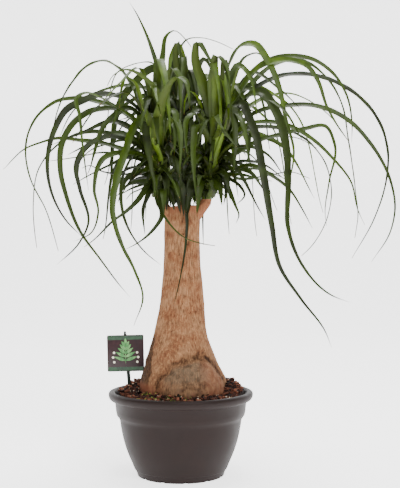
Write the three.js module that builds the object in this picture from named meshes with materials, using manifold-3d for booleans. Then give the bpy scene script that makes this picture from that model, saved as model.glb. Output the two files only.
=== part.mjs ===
// A potted ponytail palm: a swollen trunk sawn off at the top, three leafy heads
// that grew from buds round the cut, a bowl pot filled with bark soil and a card on a stake.
// Millimetres, +Z up, origin on the surface that the pot stands on, at the middle of its base.
// The front of the plant faces -Y.

import * as THREE from 'three';
import { mergeVertices } from 'three/addons/utils/BufferGeometryUtils.js';
import Module from 'manifold-3d';

const wasm = await Module();
wasm.setup();

// Driving dimensions

const GAP = 0.35;

const POT_RIM_RADIUS = 135;
const POT_HEIGHT = 155.5;
const POT_FOOT_RADIUS = 81;
const POT_FLOOR = 4;
const POT_SIDES = 32;
const DRAIN_HOLES = 6;
const DRAIN_RING = 45;
const DRAIN_RADIUS = 5;
const DRAIN_SIDES = 12;
const FOOT_NOTCHES = 12;
const FOOT_NOTCH = { length: 8, width: 7, height: 3.5 };

const SOIL_LEVEL = 150.5;
const SOIL_EDGE_RADIUS = 119.5;
const SOIL_LUMP = 1.5;
const SOIL_MOUND = { height: 6, at: 78, over: 18 };
const SOIL_HEAP = { height: 15, at: 98, over: 20, from: -0.55, to: 0.1 };

const TRUNK_AXIS_X = 2.5;
const TRUNK_TOP = 499;
const TRUNK_TOP_RADIUS = 32;
const SAW_TILT = 2.5;
const SWELLING = { at: 190, over: 42 };
const WANDER = { most: 3, at: 240, over: 60 };
const TRUNK_BASE_RADIUS = 81.5;
const TRUNK_SIDES = 28;
const ROOTS = 4;
const ROOT_SIDES = 6;

const STUB_TOP = 513;
const STUB_RADIUS = 10;
const STEM_SIDES = 8;

const CARD = { width: 70, height: 69.5, thick: 1.2, corner: 2.5, low: 186.7, lean: -1.3 };
const STAKE = { width: 6.5, thick: 2.4, length: 146, point: 14, peg: 7, aside: -2, lean: -5 };
const LABEL_AT = { x: -105.5, y: 34 };

const BLADE_THIN = 0.8;
const BLADE_KEEL = 0.16;
const BLADE_STEP = 53;
const BLADE_GAP = 3.5;
const THIN_TIP = 1.3;

// How a blade's width goes along its length: drawn out to a thread, or held nearly to its tip
const DRAWN_OUT = [[0, 0.8], [0.25, 1], [0.5, 0.94], [0.66, 0.6], [0.8, 0.27], [1, 0.08]];
const HELD = [[0, 0.85], [0.25, 1], [0.6, 0.95], [0.8, 0.5], [1, 0.08]];
const SHORT_LEAF = 170;

// Leaves that end inside the crown are broad and face the front; one that stands up keeps its width
const CENTRAL = { reach: 80, low: 500, wider: 1.3, roll: 25 };
const HELD_ABOVE = 850;

// How far a leaf is rolled up to its crest; along the crest the roll goes over to the leaf's own
const ROOT_ROLL = 55;
const CREST = [0.3, 0.62];

const SLIVER = 0.03;

// How a leaf is moved to clear another head: the step back or forward, and the step in degrees
const SHIFT_DEPTH = 12;
const SHIFT_TURN = 4;
const SHIFTS = [0, 1, -1, 2, -2, 3, -3, 4, -4, 5, -5, 6, -6];
const GUARD_STEP = 8;
const STEM_GUARD = 13;

// Where each head's shoot stands on its stub, and where it leans to at its top
const SHOOT_BASE = STUB_TOP + GAP;
const SHOOT_TOP = 640;
const HEADS = {
  left: { x: -38, y: -10, topX: -50, topY: -15 },
  right: { x: 48, y: -3, topX: 74, topY: -6 },
  back: { x: 6, y: 33, topX: 5, topY: 50 },
};

// Leaves that give the crown its outline.
// Each: width, how far it runs back (+) or forward (-), roll, height of its root,
// then the places it passes, x and z as seen from the front.
const SHAPED_LEAVES = {
  left: [
    [17, -65, 26, 600, [-68, 671], [-89, 721], [-110, 748], [-137, 761], [-166, 751], [-194, 719],
      [-213, 685], [-228, 636]],
    [12, 50, 52, 598, [-85, 660], [-118, 684], [-162, 700], [-200, 706], [-232, 702], [-266, 681],
      [-290, 645], [-297, 608], [-290, 560], [-258, 492], [-236, 417]],
    [11, 115, 50, 585, [-103, 633], [-137, 642], [-175, 647], [-217, 638], [-258, 611], [-282, 579],
      [-295, 512], [-293, 453], [-289, 423]],
    [11, -10, 65, 575, [-113, 608], [-150, 618], [-186, 622], [-233, 625], [-260, 617], [-286, 607],
      [-328, 568]],
    [11, -120, 30, 592, [-73, 645], [-107, 672], [-141, 690], [-165, 697], [-181, 688], [-175, 654],
      [-168, 600], [-157, 521]],
    [12, -30, 50, 605, [-47, 709], [-84, 721], [-125, 717], [-165, 700], [-198, 670], [-222, 623]],
    [14, -100, 78, 600, [-73, 673], [-109, 697], [-144, 700], [-172, 688], [-203, 669], [-221, 636],
      [-233, 559], [-222, 511], [-202, 474], [-167, 437]],
    [12, -70, 42, 590, [-93, 666], [-129, 678], [-159, 674], [-193, 651], [-214, 612], [-216, 562],
      [-205, 517], [-179, 452], [-144, 404], [-103, 350], [-89, 334]],
    [15, -110, -30, 612, [-35, 692], [-52, 713], [-69, 726], [-95, 733], [-116, 722], [-126, 703]],
    [10, 12, 40, 578, [-99, 624], [-138, 617], [-170, 605], [-189, 585], [-193, 559]],
    [11, -115, 80, 576, [-95, 618], [-135, 623], [-168, 602], [-184, 568], [-176, 527], [-159, 463],
      [-174, 430], [-212, 392]],
    [9, 60, 35, 570, [-106, 598], [-155, 605], [-199, 598], [-253, 591]],
    [11, -160, 70, 568, [-99, 594], [-132, 582], [-146, 521], [-137, 480], [-148, 446], [-176, 432]],
    [10, -20, 50, 566, [-94, 590], [-135, 573], [-170, 555], [-198, 539]],
    [9, 60, 30, 560, [-107, 563], [-152, 570], [-180, 582], [-192, 577]],
    [16, -150, 45, 606, [-54, 667], [-79, 647], [-97, 595], [-111, 540], [-116, 487], [-101, 433],
      [-73, 377], [-61, 339], [-76, 289]],
    [9, -90, 30, 572, [-80, 596], [-98, 570], [-106, 511], [-94, 462], [-61, 414], [-33, 391]],
    [11, -110, 35, 562, [-60, 540], [-76, 508], [-97, 485], [-117, 469], [-152, 433], [-166, 423]],
    [14, -80, -20, 558, [-50, 545], [-58, 518], [-66, 489], [-62, 446]],
    [10, 15, 30, 556, [-66, 540], [-80, 531], [-94, 525], [-103, 514]],
    [11, -45, 30, 556, [-58, 545], [-70, 538], [-91, 529], [-109, 518]],
    [10, -25, 40, 560, [-70, 562], [-89, 549], [-109, 519]],
    [7, -62, 10, 560, [-16, 531], [7, 510], [12, 476], [11, 440], [-2, 357], [-12, 316]],
    [6.5, -62, 30, 556, [-46, 520], [-34, 488], [-17, 463], [7, 441], [39, 430], [63, 426]],
    [10, -58, 35, 556, [-38, 510], [-34, 478], [-46, 458], [-79, 429], [-97, 420]],
    [18, -190, 15, 590, [-42, 625], [-37, 655], [-27, 680], [-15, 700], [-1, 709], [11, 702],
      [17, 680], [19, 648]],
    [15, -120, 10, 596, [-50, 650], [-47, 662], [-40, 640], [-37, 613], [-33, 590]],
    [12, -70, -15, 562, [-38, 574], [-24, 560], [-14, 544], [0, 511]],
    [15, -70, 10, 602, [-58, 650], [-72, 692], [-84, 722], [-96, 728], [-104, 708], [-108, 672]],
    [17, -60, 10, 610, [-34, 690], [-22, 730], [-13, 748], [-3, 735], [1, 700], [2, 665]],
    [11, -105, 0, 590, [-26, 640], [-10, 655], [0, 632], [2, 590], [0, 545]],
    [13, -105, -10, 584, [-56, 640], [-61, 652], [-60, 620], [-51, 570], [-38, 508]],
    [14, -80, 15, 588, [-34, 640], [-22, 672], [-12, 668], [-8, 630], [-10, 585]],
    [15, 45, 25, 612, [-46, 704], [-41, 744], [-35, 789], [-26, 830], [-14, 838], [9, 821], [20, 806]],
  ],
  right: [
    [18, -60, 5, 604, [58, 657], [45, 710], [27, 775], [30, 794], [54, 761], [68, 736]],
    [16, -100, 50, 604, [78, 692], [81, 727], [92, 765], [113, 790], [133, 789], [157, 757],
      [176, 709], [188, 647], [201, 594], [192, 529]],
    [11, 50, 45, 606, [83, 666], [101, 745], [124, 790], [146, 797], [165, 782], [186, 735]],
    [14, -40, 70, 596, [66, 632], [80, 680], [115, 725], [155, 764], [201, 775], [247, 766],
      [279, 742], [304, 701], [313, 656], [313, 615]],
    [16, -110, 65, 600, [75, 660], [108, 707], [136, 744], [164, 755], [195, 756], [225, 744],
      [243, 717], [258, 670], [281, 628], [295, 608]],
    [11, 60, 45, 602, [92, 685], [131, 732], [188, 777], [227, 782], [274, 754], [305, 709],
      [323, 627], [338, 525], [342, 487], [336, 442]],
    [12, 10, 58, 594, [101, 671], [145, 726], [190, 746], [242, 748], [299, 730], [340, 702],
      [374, 657], [389, 603], [386, 550], [365, 481], [322, 403]],
    [11, 130, 40, 590, [90, 645], [134, 700], [174, 723], [215, 730], [260, 715], [301, 685],
      [334, 641]],
    [12, -90, 55, 582, [88, 622], [137, 671], [191, 682], [249, 679], [300, 654], [343, 606],
      [376, 537], [382, 494], [373, 450], [340, 397]],
    [17, -180, 85, 584, [87, 629], [98, 663], [113, 691], [143, 703], [168, 668], [184, 609],
      [187, 529], [185, 455], [202, 402], [255, 342], [285, 330]],
    [15, -220, 55, 590, [80, 653], [106, 684], [127, 643], [144, 551], [156, 459], [168, 389],
      [201, 337], [241, 282], [250, 258]],
    [9, -110, 30, 606, [93, 703], [108, 743], [124, 722], [132, 686], [136, 645]],
    [11, -105, 55, 578, [91, 621], [123, 648], [159, 651], [197, 641], [235, 617], [271, 580],
      [302, 537], [313, 488], [325, 462]],
    [11, 60, 35, 582, [111, 642], [146, 652], [188, 651], [235, 633], [274, 592], [290, 534],
      [283, 483], [253, 427], [233, 407]],
    [10, 130, 35, 572, [95, 597], [129, 620], [179, 643], [237, 643], [271, 625]],
    [10, 15, 75, 570, [111, 606], [148, 625], [186, 636], [233, 647], [272, 652], [290, 616],
      [279, 545], [272, 485], [275, 464]],
    [10, -65, 45, 568, [89, 604], [123, 607], [155, 593], [187, 551]],
    [9, -90, 20, 574, [105, 620], [120, 630], [124, 599], [116, 563]],
    [10, -30, 40, 562, [82, 574], [115, 583], [146, 579], [194, 547]],
    [9, 20, 35, 560, [90, 562], [119, 571], [153, 570], [195, 555]],
    [10, -80, 40, 558, [86, 556], [114, 554], [140, 545], [164, 541]],
    [9, -80, 30, 556, [90, 548], [111, 529], [116, 516], [100, 498]],
    [11, -95, 40, 566, [83, 597], [99, 572], [116, 541], [137, 496], [151, 471]],
    [10, -70, 30, 558, [76, 554], [90, 524], [101, 495], [106, 481], [100, 465]],
    [11, -120, 45, 564, [100, 568], [126, 572], [157, 555], [194, 523], [215, 487], [231, 456]],
    [9, 130, 30, 558, [113, 556], [175, 568], [223, 576], [257, 564]],
    [12, -50, 10, 560, [72, 562], [82, 547], [83, 524], [79, 500]],
    [16, -25, 10, 600, [52, 640], [41, 674], [28, 704], [18, 712], [10, 698], [6, 668]],
    [17, -70, 0, 606, [66, 690], [68, 722], [74, 736], [82, 715], [86, 680], [88, 640]],
    [12, -95, -10, 590, [44, 635], [31, 648], [25, 615], [25, 560], [30, 505]],
    [14, -60, 10, 588, [44, 640], [28, 668], [16, 662], [10, 625], [14, 585]],
    [14, -115, 0, 586, [86, 655], [94, 680], [97, 650], [98, 600], [94, 545]],
    [14, -75, -15, 598, [58, 690], [50, 742], [57, 722], [61, 680], [63, 640]],
    [11, -100, 15, 602, [63, 688], [62, 752], [66, 728], [70, 690], [73, 650]],
    [11, -90, 20, 600, [74, 688], [80, 758], [84, 737], [88, 700], [92, 655]],
  ],
  back: [
    [11, 20, 65, 620, [-32, 729], [-48, 780], [-67, 835], [-92, 887], [-101, 901]],
    [8, 100, 15, 612, [-34, 768], [-64, 795], [-99, 793], [-132, 777], [-146, 743], [-151, 697],
      [-165, 623]],
    [18, -42, 0, 625, [-1, 700], [-8, 765], [-10, 800], [-7, 812], [-3, 795], [0, 755]],
    [15, 35, -10, 625, [12, 730], [6, 775], [1, 800], [-1, 812]],
    [15, 60, 20, 620, [-19, 754], [-16, 808], [-8, 826], [4, 800], [12, 761], [8, 717]],
    [9, 90, 30, 622, [-12, 775], [-6, 821], [10, 844], [36, 849], [70, 842], [103, 827]],
  ],
};

// Leaves that fill a head all round. Bearings are in degrees from +X towards +Y,
// and each range is for how far a leaf runs out, rises and falls, and where it roots.
const UPPER = { count: 8, reach: [80, 200], rise: [60, 150], fall: [-60, 40], root: [555, 620] };
const FRINGE = { count: 7, reach: [50, 110], rise: [15, 45], fall: [-5, 35], root: [526, 550] };
const SKIRT = { count: 3, reach: [40, 66], rise: [10, 30], fall: [8, 46], root: [522, 536] };
const FILLING_LEAVES = {
  left: [
    { ...UPPER, middle: 222, spread: 110 },
    { ...FRINGE, middle: 206, spread: 200 },
    { ...SKIRT, middle: 293, spread: 110 },
  ],
  right: [
    { ...UPPER, middle: 315, spread: 120 },
    { ...FRINGE, middle: 330, spread: 200 },
    { ...SKIRT, middle: 250, spread: 100 },
  ],
  back: [
    { count: 22, middle: 90, spread: 180, reach: [100, 310], rise: [50, 145], fall: [20, 150],
      root: [555, 630] },
    { ...FRINGE, middle: 90, spread: 220 },
    { ...SKIRT, middle: 270, spread: 50, reach: [66, 96] },
  ],
};

// Helpers

function toSolid(geometry) {
  geometry.deleteAttribute('normal');
  geometry.deleteAttribute('uv');
  const merged = mergeVertices(geometry, 1e-4);
  return new wasm.Manifold(new wasm.Mesh({
    numProp: 3,
    vertProperties: new Float32Array(merged.attributes.position.array),
    triVerts: new Uint32Array(merged.index.array),
  }));
}

function toGeometry(solid) {
  const mesh = solid.getMesh();
  const geometry = new THREE.BufferGeometry();
  geometry.setAttribute('position', new THREE.BufferAttribute(mesh.vertProperties, 3));
  geometry.setIndex(new THREE.BufferAttribute(mesh.triVerts, 1));
  return geometry;
}

// The largest body alone: a hollow sealed by the joins is filled and a loose scrap is dropped
function wholeBody(solid) {
  return solid.decompose().reduce((best, body) => (body.volume() > best.volume() ? body : best));
}

function piece(name, solid, color, roughness, metalness = 0) {
  const geometry = toGeometry(solid);
  geometry.computeVertexNormals();
  const mesh = new THREE.Mesh(geometry, new THREE.MeshStandardMaterial({ color, roughness, metalness }));
  mesh.name = name;
  return mesh;
}

function lathe(points, sides) {
  const profile = points.map(([r, z]) => new THREE.Vector2(r, z));
  return new THREE.LatheGeometry(profile, sides).rotateX(Math.PI / 2);
}

function mix(a, b, t) {
  return a + (b - a) * t;
}

// A number from 0 to 1 that is spread evenly as i counts up
function even(i, step, start = 0) {
  const value = start + i * step;
  return value - Math.floor(value);
}

// Eases from 0 at start to 1 at end
function smooth(value, start, end) {
  const t = Math.min(1, Math.max(0, (value - start) / (end - start)));
  return t * t * (3 - 2 * t);
}

// A bump of height 1 at a place, gone a few widths away
function bell(value, at, over) {
  return Math.exp(-(((value - at) / over) ** 2));
}

// A list of places and values, such as heights and radii, read at any place
function readAt(outline, place) {
  for (let i = 1; i < outline.length; i++) {
    const [p1, v1] = outline[i];
    const [p0, v0] = outline[i - 1];
    if (place <= p1) {
      return mix(v0, v1, (place - p0) / (p1 - p0));
    }
  }
  return outline[outline.length - 1][1];
}

// Closed skin over rings of points that all have the same count, with flat ends
function skin(rings) {
  const sides = rings[0].length;
  const positions = rings.flat().flatMap((p) => [p.x, p.y, p.z]);
  const index = [];
  for (let i = 0; i + 1 < rings.length; i++) {
    for (let j = 0; j < sides; j++) {
      const a = i * sides + j;
      const b = i * sides + ((j + 1) % sides);
      index.push(a, b, b + sides, a, b + sides, a + sides);
    }
  }
  const last = (rings.length - 1) * sides;
  for (let j = 1; j + 1 < sides; j++) {
    index.push(0, j + 1, j, last, last + j, last + j + 1);
  }
  const geometry = new THREE.BufferGeometry();
  geometry.setAttribute('position', new THREE.Float32BufferAttribute(positions, 3));
  geometry.setIndex(index);
  return geometry;
}

// Level rings up a stem: each stop is x, y, z, radius
function stem(stops, sides) {
  return skin(stops.map(([x, y, z, r]) => {
    const ring = [];
    for (let j = 0; j < sides; j++) {
      const turn = (2 * Math.PI * j) / sides;
      ring.push(new THREE.Vector3(x + r * Math.cos(turn), y + r * Math.sin(turn), z));
    }
    return ring;
  }));
}

// Pot: radius and height, up the outside to the rolled rim and down the inside to the floor

const POT_OUTSIDE = [
  [0, 0], [POT_FOOT_RADIUS, 0], [84.8, 11], [86.6, 12], [92.4, 26], [101, 46.5], [107.5, 68],
  [112, 90], [114, 103], [119.6, 112], [122.9, 136], [124.5, 138.3], [130.8, 140.5], [134.3, 145.5],
  [POT_RIM_RADIUS, 150.5], [132.8, 154.2], [127.5, POT_HEIGHT], [123.6, 154],
];
const POT_INSIDE = [
  [121, 148], [119.7, 136], [116.6, 113], [111, 103], [109, 90], [104.5, 68], [98, 46.5],
  [89.3, 26], [80.5, 8], [76, POT_FLOOR], [0, POT_FLOOR],
];

function makePot() {
  let pot = toSolid(lathe([...POT_OUTSIDE, ...POT_INSIDE], POT_SIDES));
  for (let i = 0; i < DRAIN_HOLES; i++) {
    const turn = (2 * Math.PI * (i + 0.5)) / DRAIN_HOLES;
    const hole = new THREE.CylinderGeometry(DRAIN_RADIUS, DRAIN_RADIUS, 4 * POT_FLOOR, DRAIN_SIDES);
    hole.rotateX(Math.PI / 2);
    hole.translate(DRAIN_RING * Math.cos(turn), DRAIN_RING * Math.sin(turn), 0);
    pot = pot.subtract(toSolid(hole));
  }
  for (let i = 0; i < FOOT_NOTCHES; i++) {
    const turn = (2 * Math.PI * (i + 0.25)) / FOOT_NOTCHES;
    const notch = new THREE.BoxGeometry(FOOT_NOTCH.length, FOOT_NOTCH.width, 2 * FOOT_NOTCH.height);
    notch.translate(POT_FOOT_RADIUS + 1, 0, 0);
    notch.rotateZ(turn);
    pot = pot.subtract(toSolid(notch));
  }
  return pot;
}

// Trunk: height and radius, from the buried underside to the sawn top

const TRUNK_OUTLINE = [
  [94, 44], [108, 67], [134, 79], [158, TRUNK_BASE_RADIUS], [173, 80.5], [190, 73.5],
  [206, 67], [224, 62], [240, 56.5], [257, 51.3], [277, 47], [300, 42.8], [330, 39.3],
  [370, 36.2], [418, 34.2], [465, 32.2], [489, TRUNK_TOP_RADIUS], [TRUNK_TOP, 30.5],
];

// The trunk's middle wanders a little on its way up
function trunkMiddle(z) {
  return TRUNK_AXIS_X - WANDER.most * bell(z, WANDER.at, WANDER.over);
}

// Broad lobes on the swollen foot and slight dents up the column
function trunkSurface(turn, z) {
  const swollen = bell(z, SWELLING.at, SWELLING.over);
  const lobes = 2.4 * Math.sin(5 * turn + 0.6) + 1.5 * Math.sin(3 * turn - 1.1 + z / 60);
  const dents = 0.7 * Math.sin(4 * turn + z / 23) + 0.5 * Math.sin(7 * turn - z / 31);
  return readAt(TRUNK_OUTLINE, z) + swollen * lobes + dents;
}

function trunkBody(grow) {
  const last = TRUNK_OUTLINE.length - 1;
  const rings = TRUNK_OUTLINE.map(([z], i) => {
    const ring = [];
    for (let j = 0; j < TRUNK_SIDES; j++) {
      const turn = (2 * Math.PI * j) / TRUNK_SIDES;
      const r = trunkSurface(turn, z) + grow;
      const x = trunkMiddle(z) + r * Math.cos(turn);
      const tilt = i === last ? SAW_TILT * Math.sin(turn + 2.2) : 0;
      const below = i === 0 ? grow : 0;
      ring.push(new THREE.Vector3(x, r * Math.sin(turn), z + tilt - below));
    }
    return ring;
  });
  return toSolid(skin(rings));
}

// A thick root from its tip, deep in the soil, up into the trunk: out from the axis, height, radius
const ROOT_PATH = [[34, 34, 3], [50, 62, 9.6], [44, 104, 10.4]];

function makeRoots(grow) {
  let roots = null;
  for (let i = 0; i < ROOTS; i++) {
    const turn = (2 * Math.PI * (i + 0.3)) / ROOTS;
    const spread = mix(0.85, 1.15, even(i, 0.62, 0.1));
    const path = ROOT_PATH.map(([out, z, r], k) => {
      const along = out * spread;
      const below = k === 0 ? grow : 0;
      return [TRUNK_AXIS_X + along * Math.cos(turn), along * Math.sin(turn), z - below, r + grow];
    });
    const root = toSolid(stem(path, ROOT_SIDES));
    roots = roots ? roots.add(root) : root;
  }
  return roots;
}

// A woody stub that carries a head, bent out from the sawn top and cut level:
// share of the way out to the head, height, radius
const STUB_PATH = [[0.3, 462, 11], [0.65, 488, 13], [0.9, 503, 12], [1, STUB_TOP, STUB_RADIUS]];

function makeStub(head) {
  const stops = STUB_PATH.map(([t, z, r]) => [mix(TRUNK_AXIS_X, head.x, t), head.y * t, z, r]);
  return toSolid(stem(stops, STEM_SIDES));
}

function makeTrunk() {
  let trunk = trunkBody(0).add(makeRoots(0));
  for (const head of Object.values(HEADS)) {
    trunk = trunk.add(makeStub(head));
  }
  return trunk;
}

// Soil: bark compost with a lumpy top, in contact with the pot all round

function soilHeight(x, y) {
  const radius = Math.hypot(x, y);
  const mound = SOIL_MOUND.height * bell(radius, SOIL_MOUND.at, SOIL_MOUND.over);
  const behind = smooth(y / radius, SOIL_HEAP.from, SOIL_HEAP.to);
  const heap = SOIL_HEAP.height * behind * bell(radius, SOIL_HEAP.at, SOIL_HEAP.over);
  const coarse = Math.sin(x / 5.1 + 0.8) * Math.cos(y / 4.7);
  const fine = Math.sin((x + y) / 7.3) * Math.cos((x - y) / 6.1);
  return SOIL_LEVEL + mound + heap + SOIL_LUMP * (coarse + fine);
}

// Radii of the rings across the soil's top, from the pot's wall in to where the trunk covers it
const SOIL_TOP_RINGS = [SOIL_EDGE_RADIUS, 112, 104, 95, 86];

function makeSoil() {
  const sides = POT_INSIDE.filter(([r, z]) => r > 0 && z < SOIL_LEVEL - 8).reverse()
    .map(([r, z]) => [r - GAP - 0.1, z + GAP]);
  const top = SOIL_TOP_RINGS.map((r) => [r, null]);
  const rings = [...sides, ...top].map(([r, z]) => {
    const ring = [];
    for (let j = 0; j < POT_SIDES; j++) {
      const turn = (2 * Math.PI * j) / POT_SIDES;
      const x = r * Math.cos(turn);
      const y = r * Math.sin(turn);
      ring.push(new THREE.Vector3(x, y, z ?? soilHeight(x, y)));
    }
    return ring;
  });
  const room = trunkBody(GAP).add(makeRoots(GAP)).add(makeStake(GAP));
  return toSolid(skin(rings)).subtract(room);
}

// Label

function makeCard() {
  const { width, height, thick, corner, low, lean } = CARD;
  const outline = new THREE.Shape();
  const w = width / 2;
  outline.moveTo(-w + corner, 0);
  outline.lineTo(w - corner, 0);
  outline.absarc(w - corner, corner, corner, -Math.PI / 2, 0);
  outline.lineTo(w, height - corner);
  outline.absarc(w - corner, height - corner, corner, 0, Math.PI / 2);
  outline.lineTo(-w + corner, height);
  outline.absarc(-w + corner, height - corner, corner, Math.PI / 2, Math.PI);
  outline.lineTo(-w, corner);
  outline.absarc(-w + corner, corner, corner, Math.PI, 1.5 * Math.PI);
  const settings = { depth: thick, bevelEnabled: false, curveSegments: 4 };
  const geometry = new THREE.ExtrudeGeometry(outline, settings);
  geometry.rotateX(Math.PI / 2);
  geometry.rotateY(THREE.MathUtils.degToRad(lean));
  geometry.translate(LABEL_AT.x, LABEL_AT.y, low);
  return toSolid(geometry);
}

// The stake leans behind the card, with a peg that shows above it.
// With some grow it is the slot that it has pushed open in the soil.
function makeStake(grow) {
  const { width, thick, length, point, peg, aside, lean } = STAKE;
  const half = width / 2 + grow;
  const outline = new THREE.Shape();
  outline.moveTo(0, -length - 2 * grow);
  outline.lineTo(half, point - length);
  outline.lineTo(half, 0);
  outline.lineTo(width / 3, peg);
  outline.lineTo(-width / 3, peg);
  outline.lineTo(-half, 0);
  outline.lineTo(-half, point - length);
  const geometry = new THREE.ExtrudeGeometry(outline, { depth: thick + 2 * grow, bevelEnabled: false });
  geometry.rotateX(Math.PI / 2);
  geometry.rotateY(THREE.MathUtils.degToRad(lean));
  geometry.translate(LABEL_AT.x + aside, LABEL_AT.y + thick + GAP + grow, CARD.low + CARD.height);
  return toSolid(geometry);
}

// Foliage

// A smooth path through the points, cut into equal steps
function smoothPath(points, step) {
  const spans = points.slice(1).map((p, i) => p.distanceTo(points[i]));
  const tangents = points.map((p, i) => {
    if (i === 0) {
      return points[1].clone().sub(p).divideScalar(spans[0]);
    }
    if (i === points.length - 1) {
      return p.clone().sub(points[i - 1]).divideScalar(spans[i - 1]);
    }
    const before = p.clone().sub(points[i - 1]).multiplyScalar(spans[i] / spans[i - 1]);
    const after = points[i + 1].clone().sub(p).multiplyScalar(spans[i - 1] / spans[i]);
    return before.add(after).divideScalar(spans[i - 1] + spans[i]);
  });
  const fine = [points[0].clone()];
  spans.forEach((span, i) => {
    for (let k = 1; k <= 10; k++) {
      const t = k / 10;
      const t2 = t * t;
      const t3 = t2 * t;
      fine.push(points[i].clone().multiplyScalar(2 * t3 - 3 * t2 + 1)
        .addScaledVector(tangents[i], span * (t3 - 2 * t2 + t))
        .addScaledVector(points[i + 1], 3 * t2 - 2 * t3)
        .addScaledVector(tangents[i + 1], span * (t3 - t2)));
    }
  });
  const lengths = [0];
  for (let i = 1; i < fine.length; i++) {
    lengths.push(lengths[i - 1] + fine[i].distanceTo(fine[i - 1]));
  }
  const total = lengths[lengths.length - 1];
  const steps = Math.max(4, Math.round(total / step));
  const path = [];
  let at = 1;
  for (let i = 0; i <= steps; i++) {
    const want = (total * i) / steps;
    while (at < fine.length - 1 && lengths[at] < want) {
      at++;
    }
    const t = (want - lengths[at - 1]) / (lengths[at] - lengths[at - 1]);
    path.push(fine[at - 1].clone().lerp(fine[at], t));
  }
  return path;
}

// How wide a leaf is along its length
function bladeWidth(leaf, t) {
  return Math.max(THIN_TIP, leaf.width * readAt(leaf.profile, t));
}

// A closed blade with a keel under it
function bladeGeometry(leaf) {
  const path = smoothPath(leaf.points, BLADE_STEP);
  const last = path.length - 1;
  const away = path[last].clone().sub(path[0]).setZ(0).normalize();
  const side = new THREE.Vector3(-away.y, away.x, 0);
  const rings = path.map((p, i) => {
    const t = i / last;
    const along = path[Math.min(i + 1, last)].clone().sub(path[Math.max(i - 1, 0)]).normalize();
    const up = along.clone().cross(side).normalize();
    const across = up.clone().cross(along);
    const roll = THREE.MathUtils.degToRad(mix(leaf.rootRoll, leaf.roll, smooth(t, ...CREST)));
    const wide = across.clone().multiplyScalar(Math.cos(roll)).addScaledVector(up, Math.sin(roll));
    const face = up.clone().multiplyScalar(Math.cos(roll)).addScaledVector(across, -Math.sin(roll));
    const half = bladeWidth(leaf, t) / 2;
    const keel = BLADE_THIN + BLADE_KEEL * half;
    return [
      p.clone().addScaledVector(wide, -half),
      p.clone().addScaledVector(face, -keel),
      p.clone().addScaledVector(wide, half),
    ];
  });
  return skin(rings);
}

// The middle of a head's shoot at a height
function shootAt(head, z) {
  const t = (z - SHOOT_BASE) / (SHOOT_TOP - SHOOT_BASE);
  return new THREE.Vector3(mix(head.x, head.topX, t), mix(head.y, head.topY, t), z);
}

// A leaf that passes given places, x and z, and runs back or forward as it goes out
function shapedLeaf(head, [width, depth, roll, root, ...places], shift) {
  const start = shootAt(head, root);
  const flat = [[start.x, root], ...places];
  const lengths = [0];
  for (let i = 1; i < flat.length; i++) {
    lengths.push(lengths[i - 1] + Math.hypot(flat[i][0] - flat[i - 1][0], flat[i][1] - flat[i - 1][1]));
  }
  const total = lengths[lengths.length - 1];
  const points = flat.map(([x, z], i) => {
    const y = start.y + (depth + SHIFT_DEPTH * shift) * Math.sin((Math.PI / 2) * (lengths[i] / total));
    return new THREE.Vector3(x, y, z);
  });
  const [endX, endZ] = places[places.length - 1];
  const outward = Math.sign(endX - start.x);
  if (endZ > CENTRAL.low && Math.abs(endX - start.x) < CENTRAL.reach) {
    const facing = THREE.MathUtils.clamp(roll, -CENTRAL.roll, CENTRAL.roll) * outward;
    return { width: width * CENTRAL.wider, roll: facing, rootRoll: 0, profile: HELD, points };
  }
  const profile = total > SHORT_LEAF && endZ < HELD_ABOVE ? DRAWN_OUT : HELD;
  return { width, roll: roll * outward, rootRoll: ROOT_ROLL * outward, profile, points };
}

// A plain arching leaf at a bearing, rolled the more the further aside it runs
function fillingLeaf(head, rule, i, shift) {
  const bearing = rule.middle + rule.spread * (even(i, 0.618034, 0.5) - 0.5) + SHIFT_TURN * shift;
  const reach = mix(rule.reach[0], rule.reach[1], even(i, 0.754878, 0.2));
  const rise = mix(rule.rise[0], rule.rise[1], even(i, 0.569840, 0.7));
  const fall = mix(rule.fall[0], rule.fall[1], even(i, 0.819173, 0.4));
  const root = mix(rule.root[0], rule.root[1], even(i, 0.569840, 0.7));
  const start = shootAt(head, root);
  const turn = THREE.MathUtils.degToRad(bearing);
  const bend = THREE.MathUtils.degToRad(mix(-16, 16, even(i, 0.381966, 0.3)));
  const arch = [[0, 0], [0.14, 0.58], [0.4, 1], [0.72, 0.74], [1, -fall / rise]];
  const points = arch.map(([out, up]) => {
    const way = turn + bend * out;
    const along = new THREE.Vector3(Math.cos(way), Math.sin(way), 0).multiplyScalar(reach * out);
    return start.clone().add(along).setZ(root + rise * up);
  });
  const width = mix(11, 17, even(i, 0.437, 0.15));
  const roll = Math.cos(turn) * mix(40, 85, even(i, 0.291, 0.6)) + mix(-20, 20, even(i, 0.7241, 0.2));
  return { width, roll, rootRoll: roll, profile: reach > SHORT_LEAF ? DRAWN_OUT : HELD, points };
}

// Round places along a leaf that nothing of another head may come near
function guardsOf(leaf) {
  const path = smoothPath(leaf.points, GUARD_STEP);
  return path.map((p, i) => ({ at: p, radius: bladeWidth(leaf, i / (path.length - 1)) / 2 }));
}

// The same up the free part of a head's stub
function stubGuards(head) {
  const guards = [];
  for (let k = 0; k <= 3; k++) {
    const t = mix(0.6, 1, k / 3);
    const z = mix(488, TRUNK_TOP, k / 3);
    guards.push({ at: new THREE.Vector3(head.x * t, head.y * t, z), radius: STEM_GUARD });
  }
  return guards;
}

// The same up a head's shoot, short of its slim top
function shootGuards(head) {
  const guards = [];
  for (let z = SHOOT_BASE + 10; z < SHOOT_TOP - 20; z += 12) {
    guards.push({ at: shootAt(head, z), radius: STEM_GUARD });
  }
  return guards;
}

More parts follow.
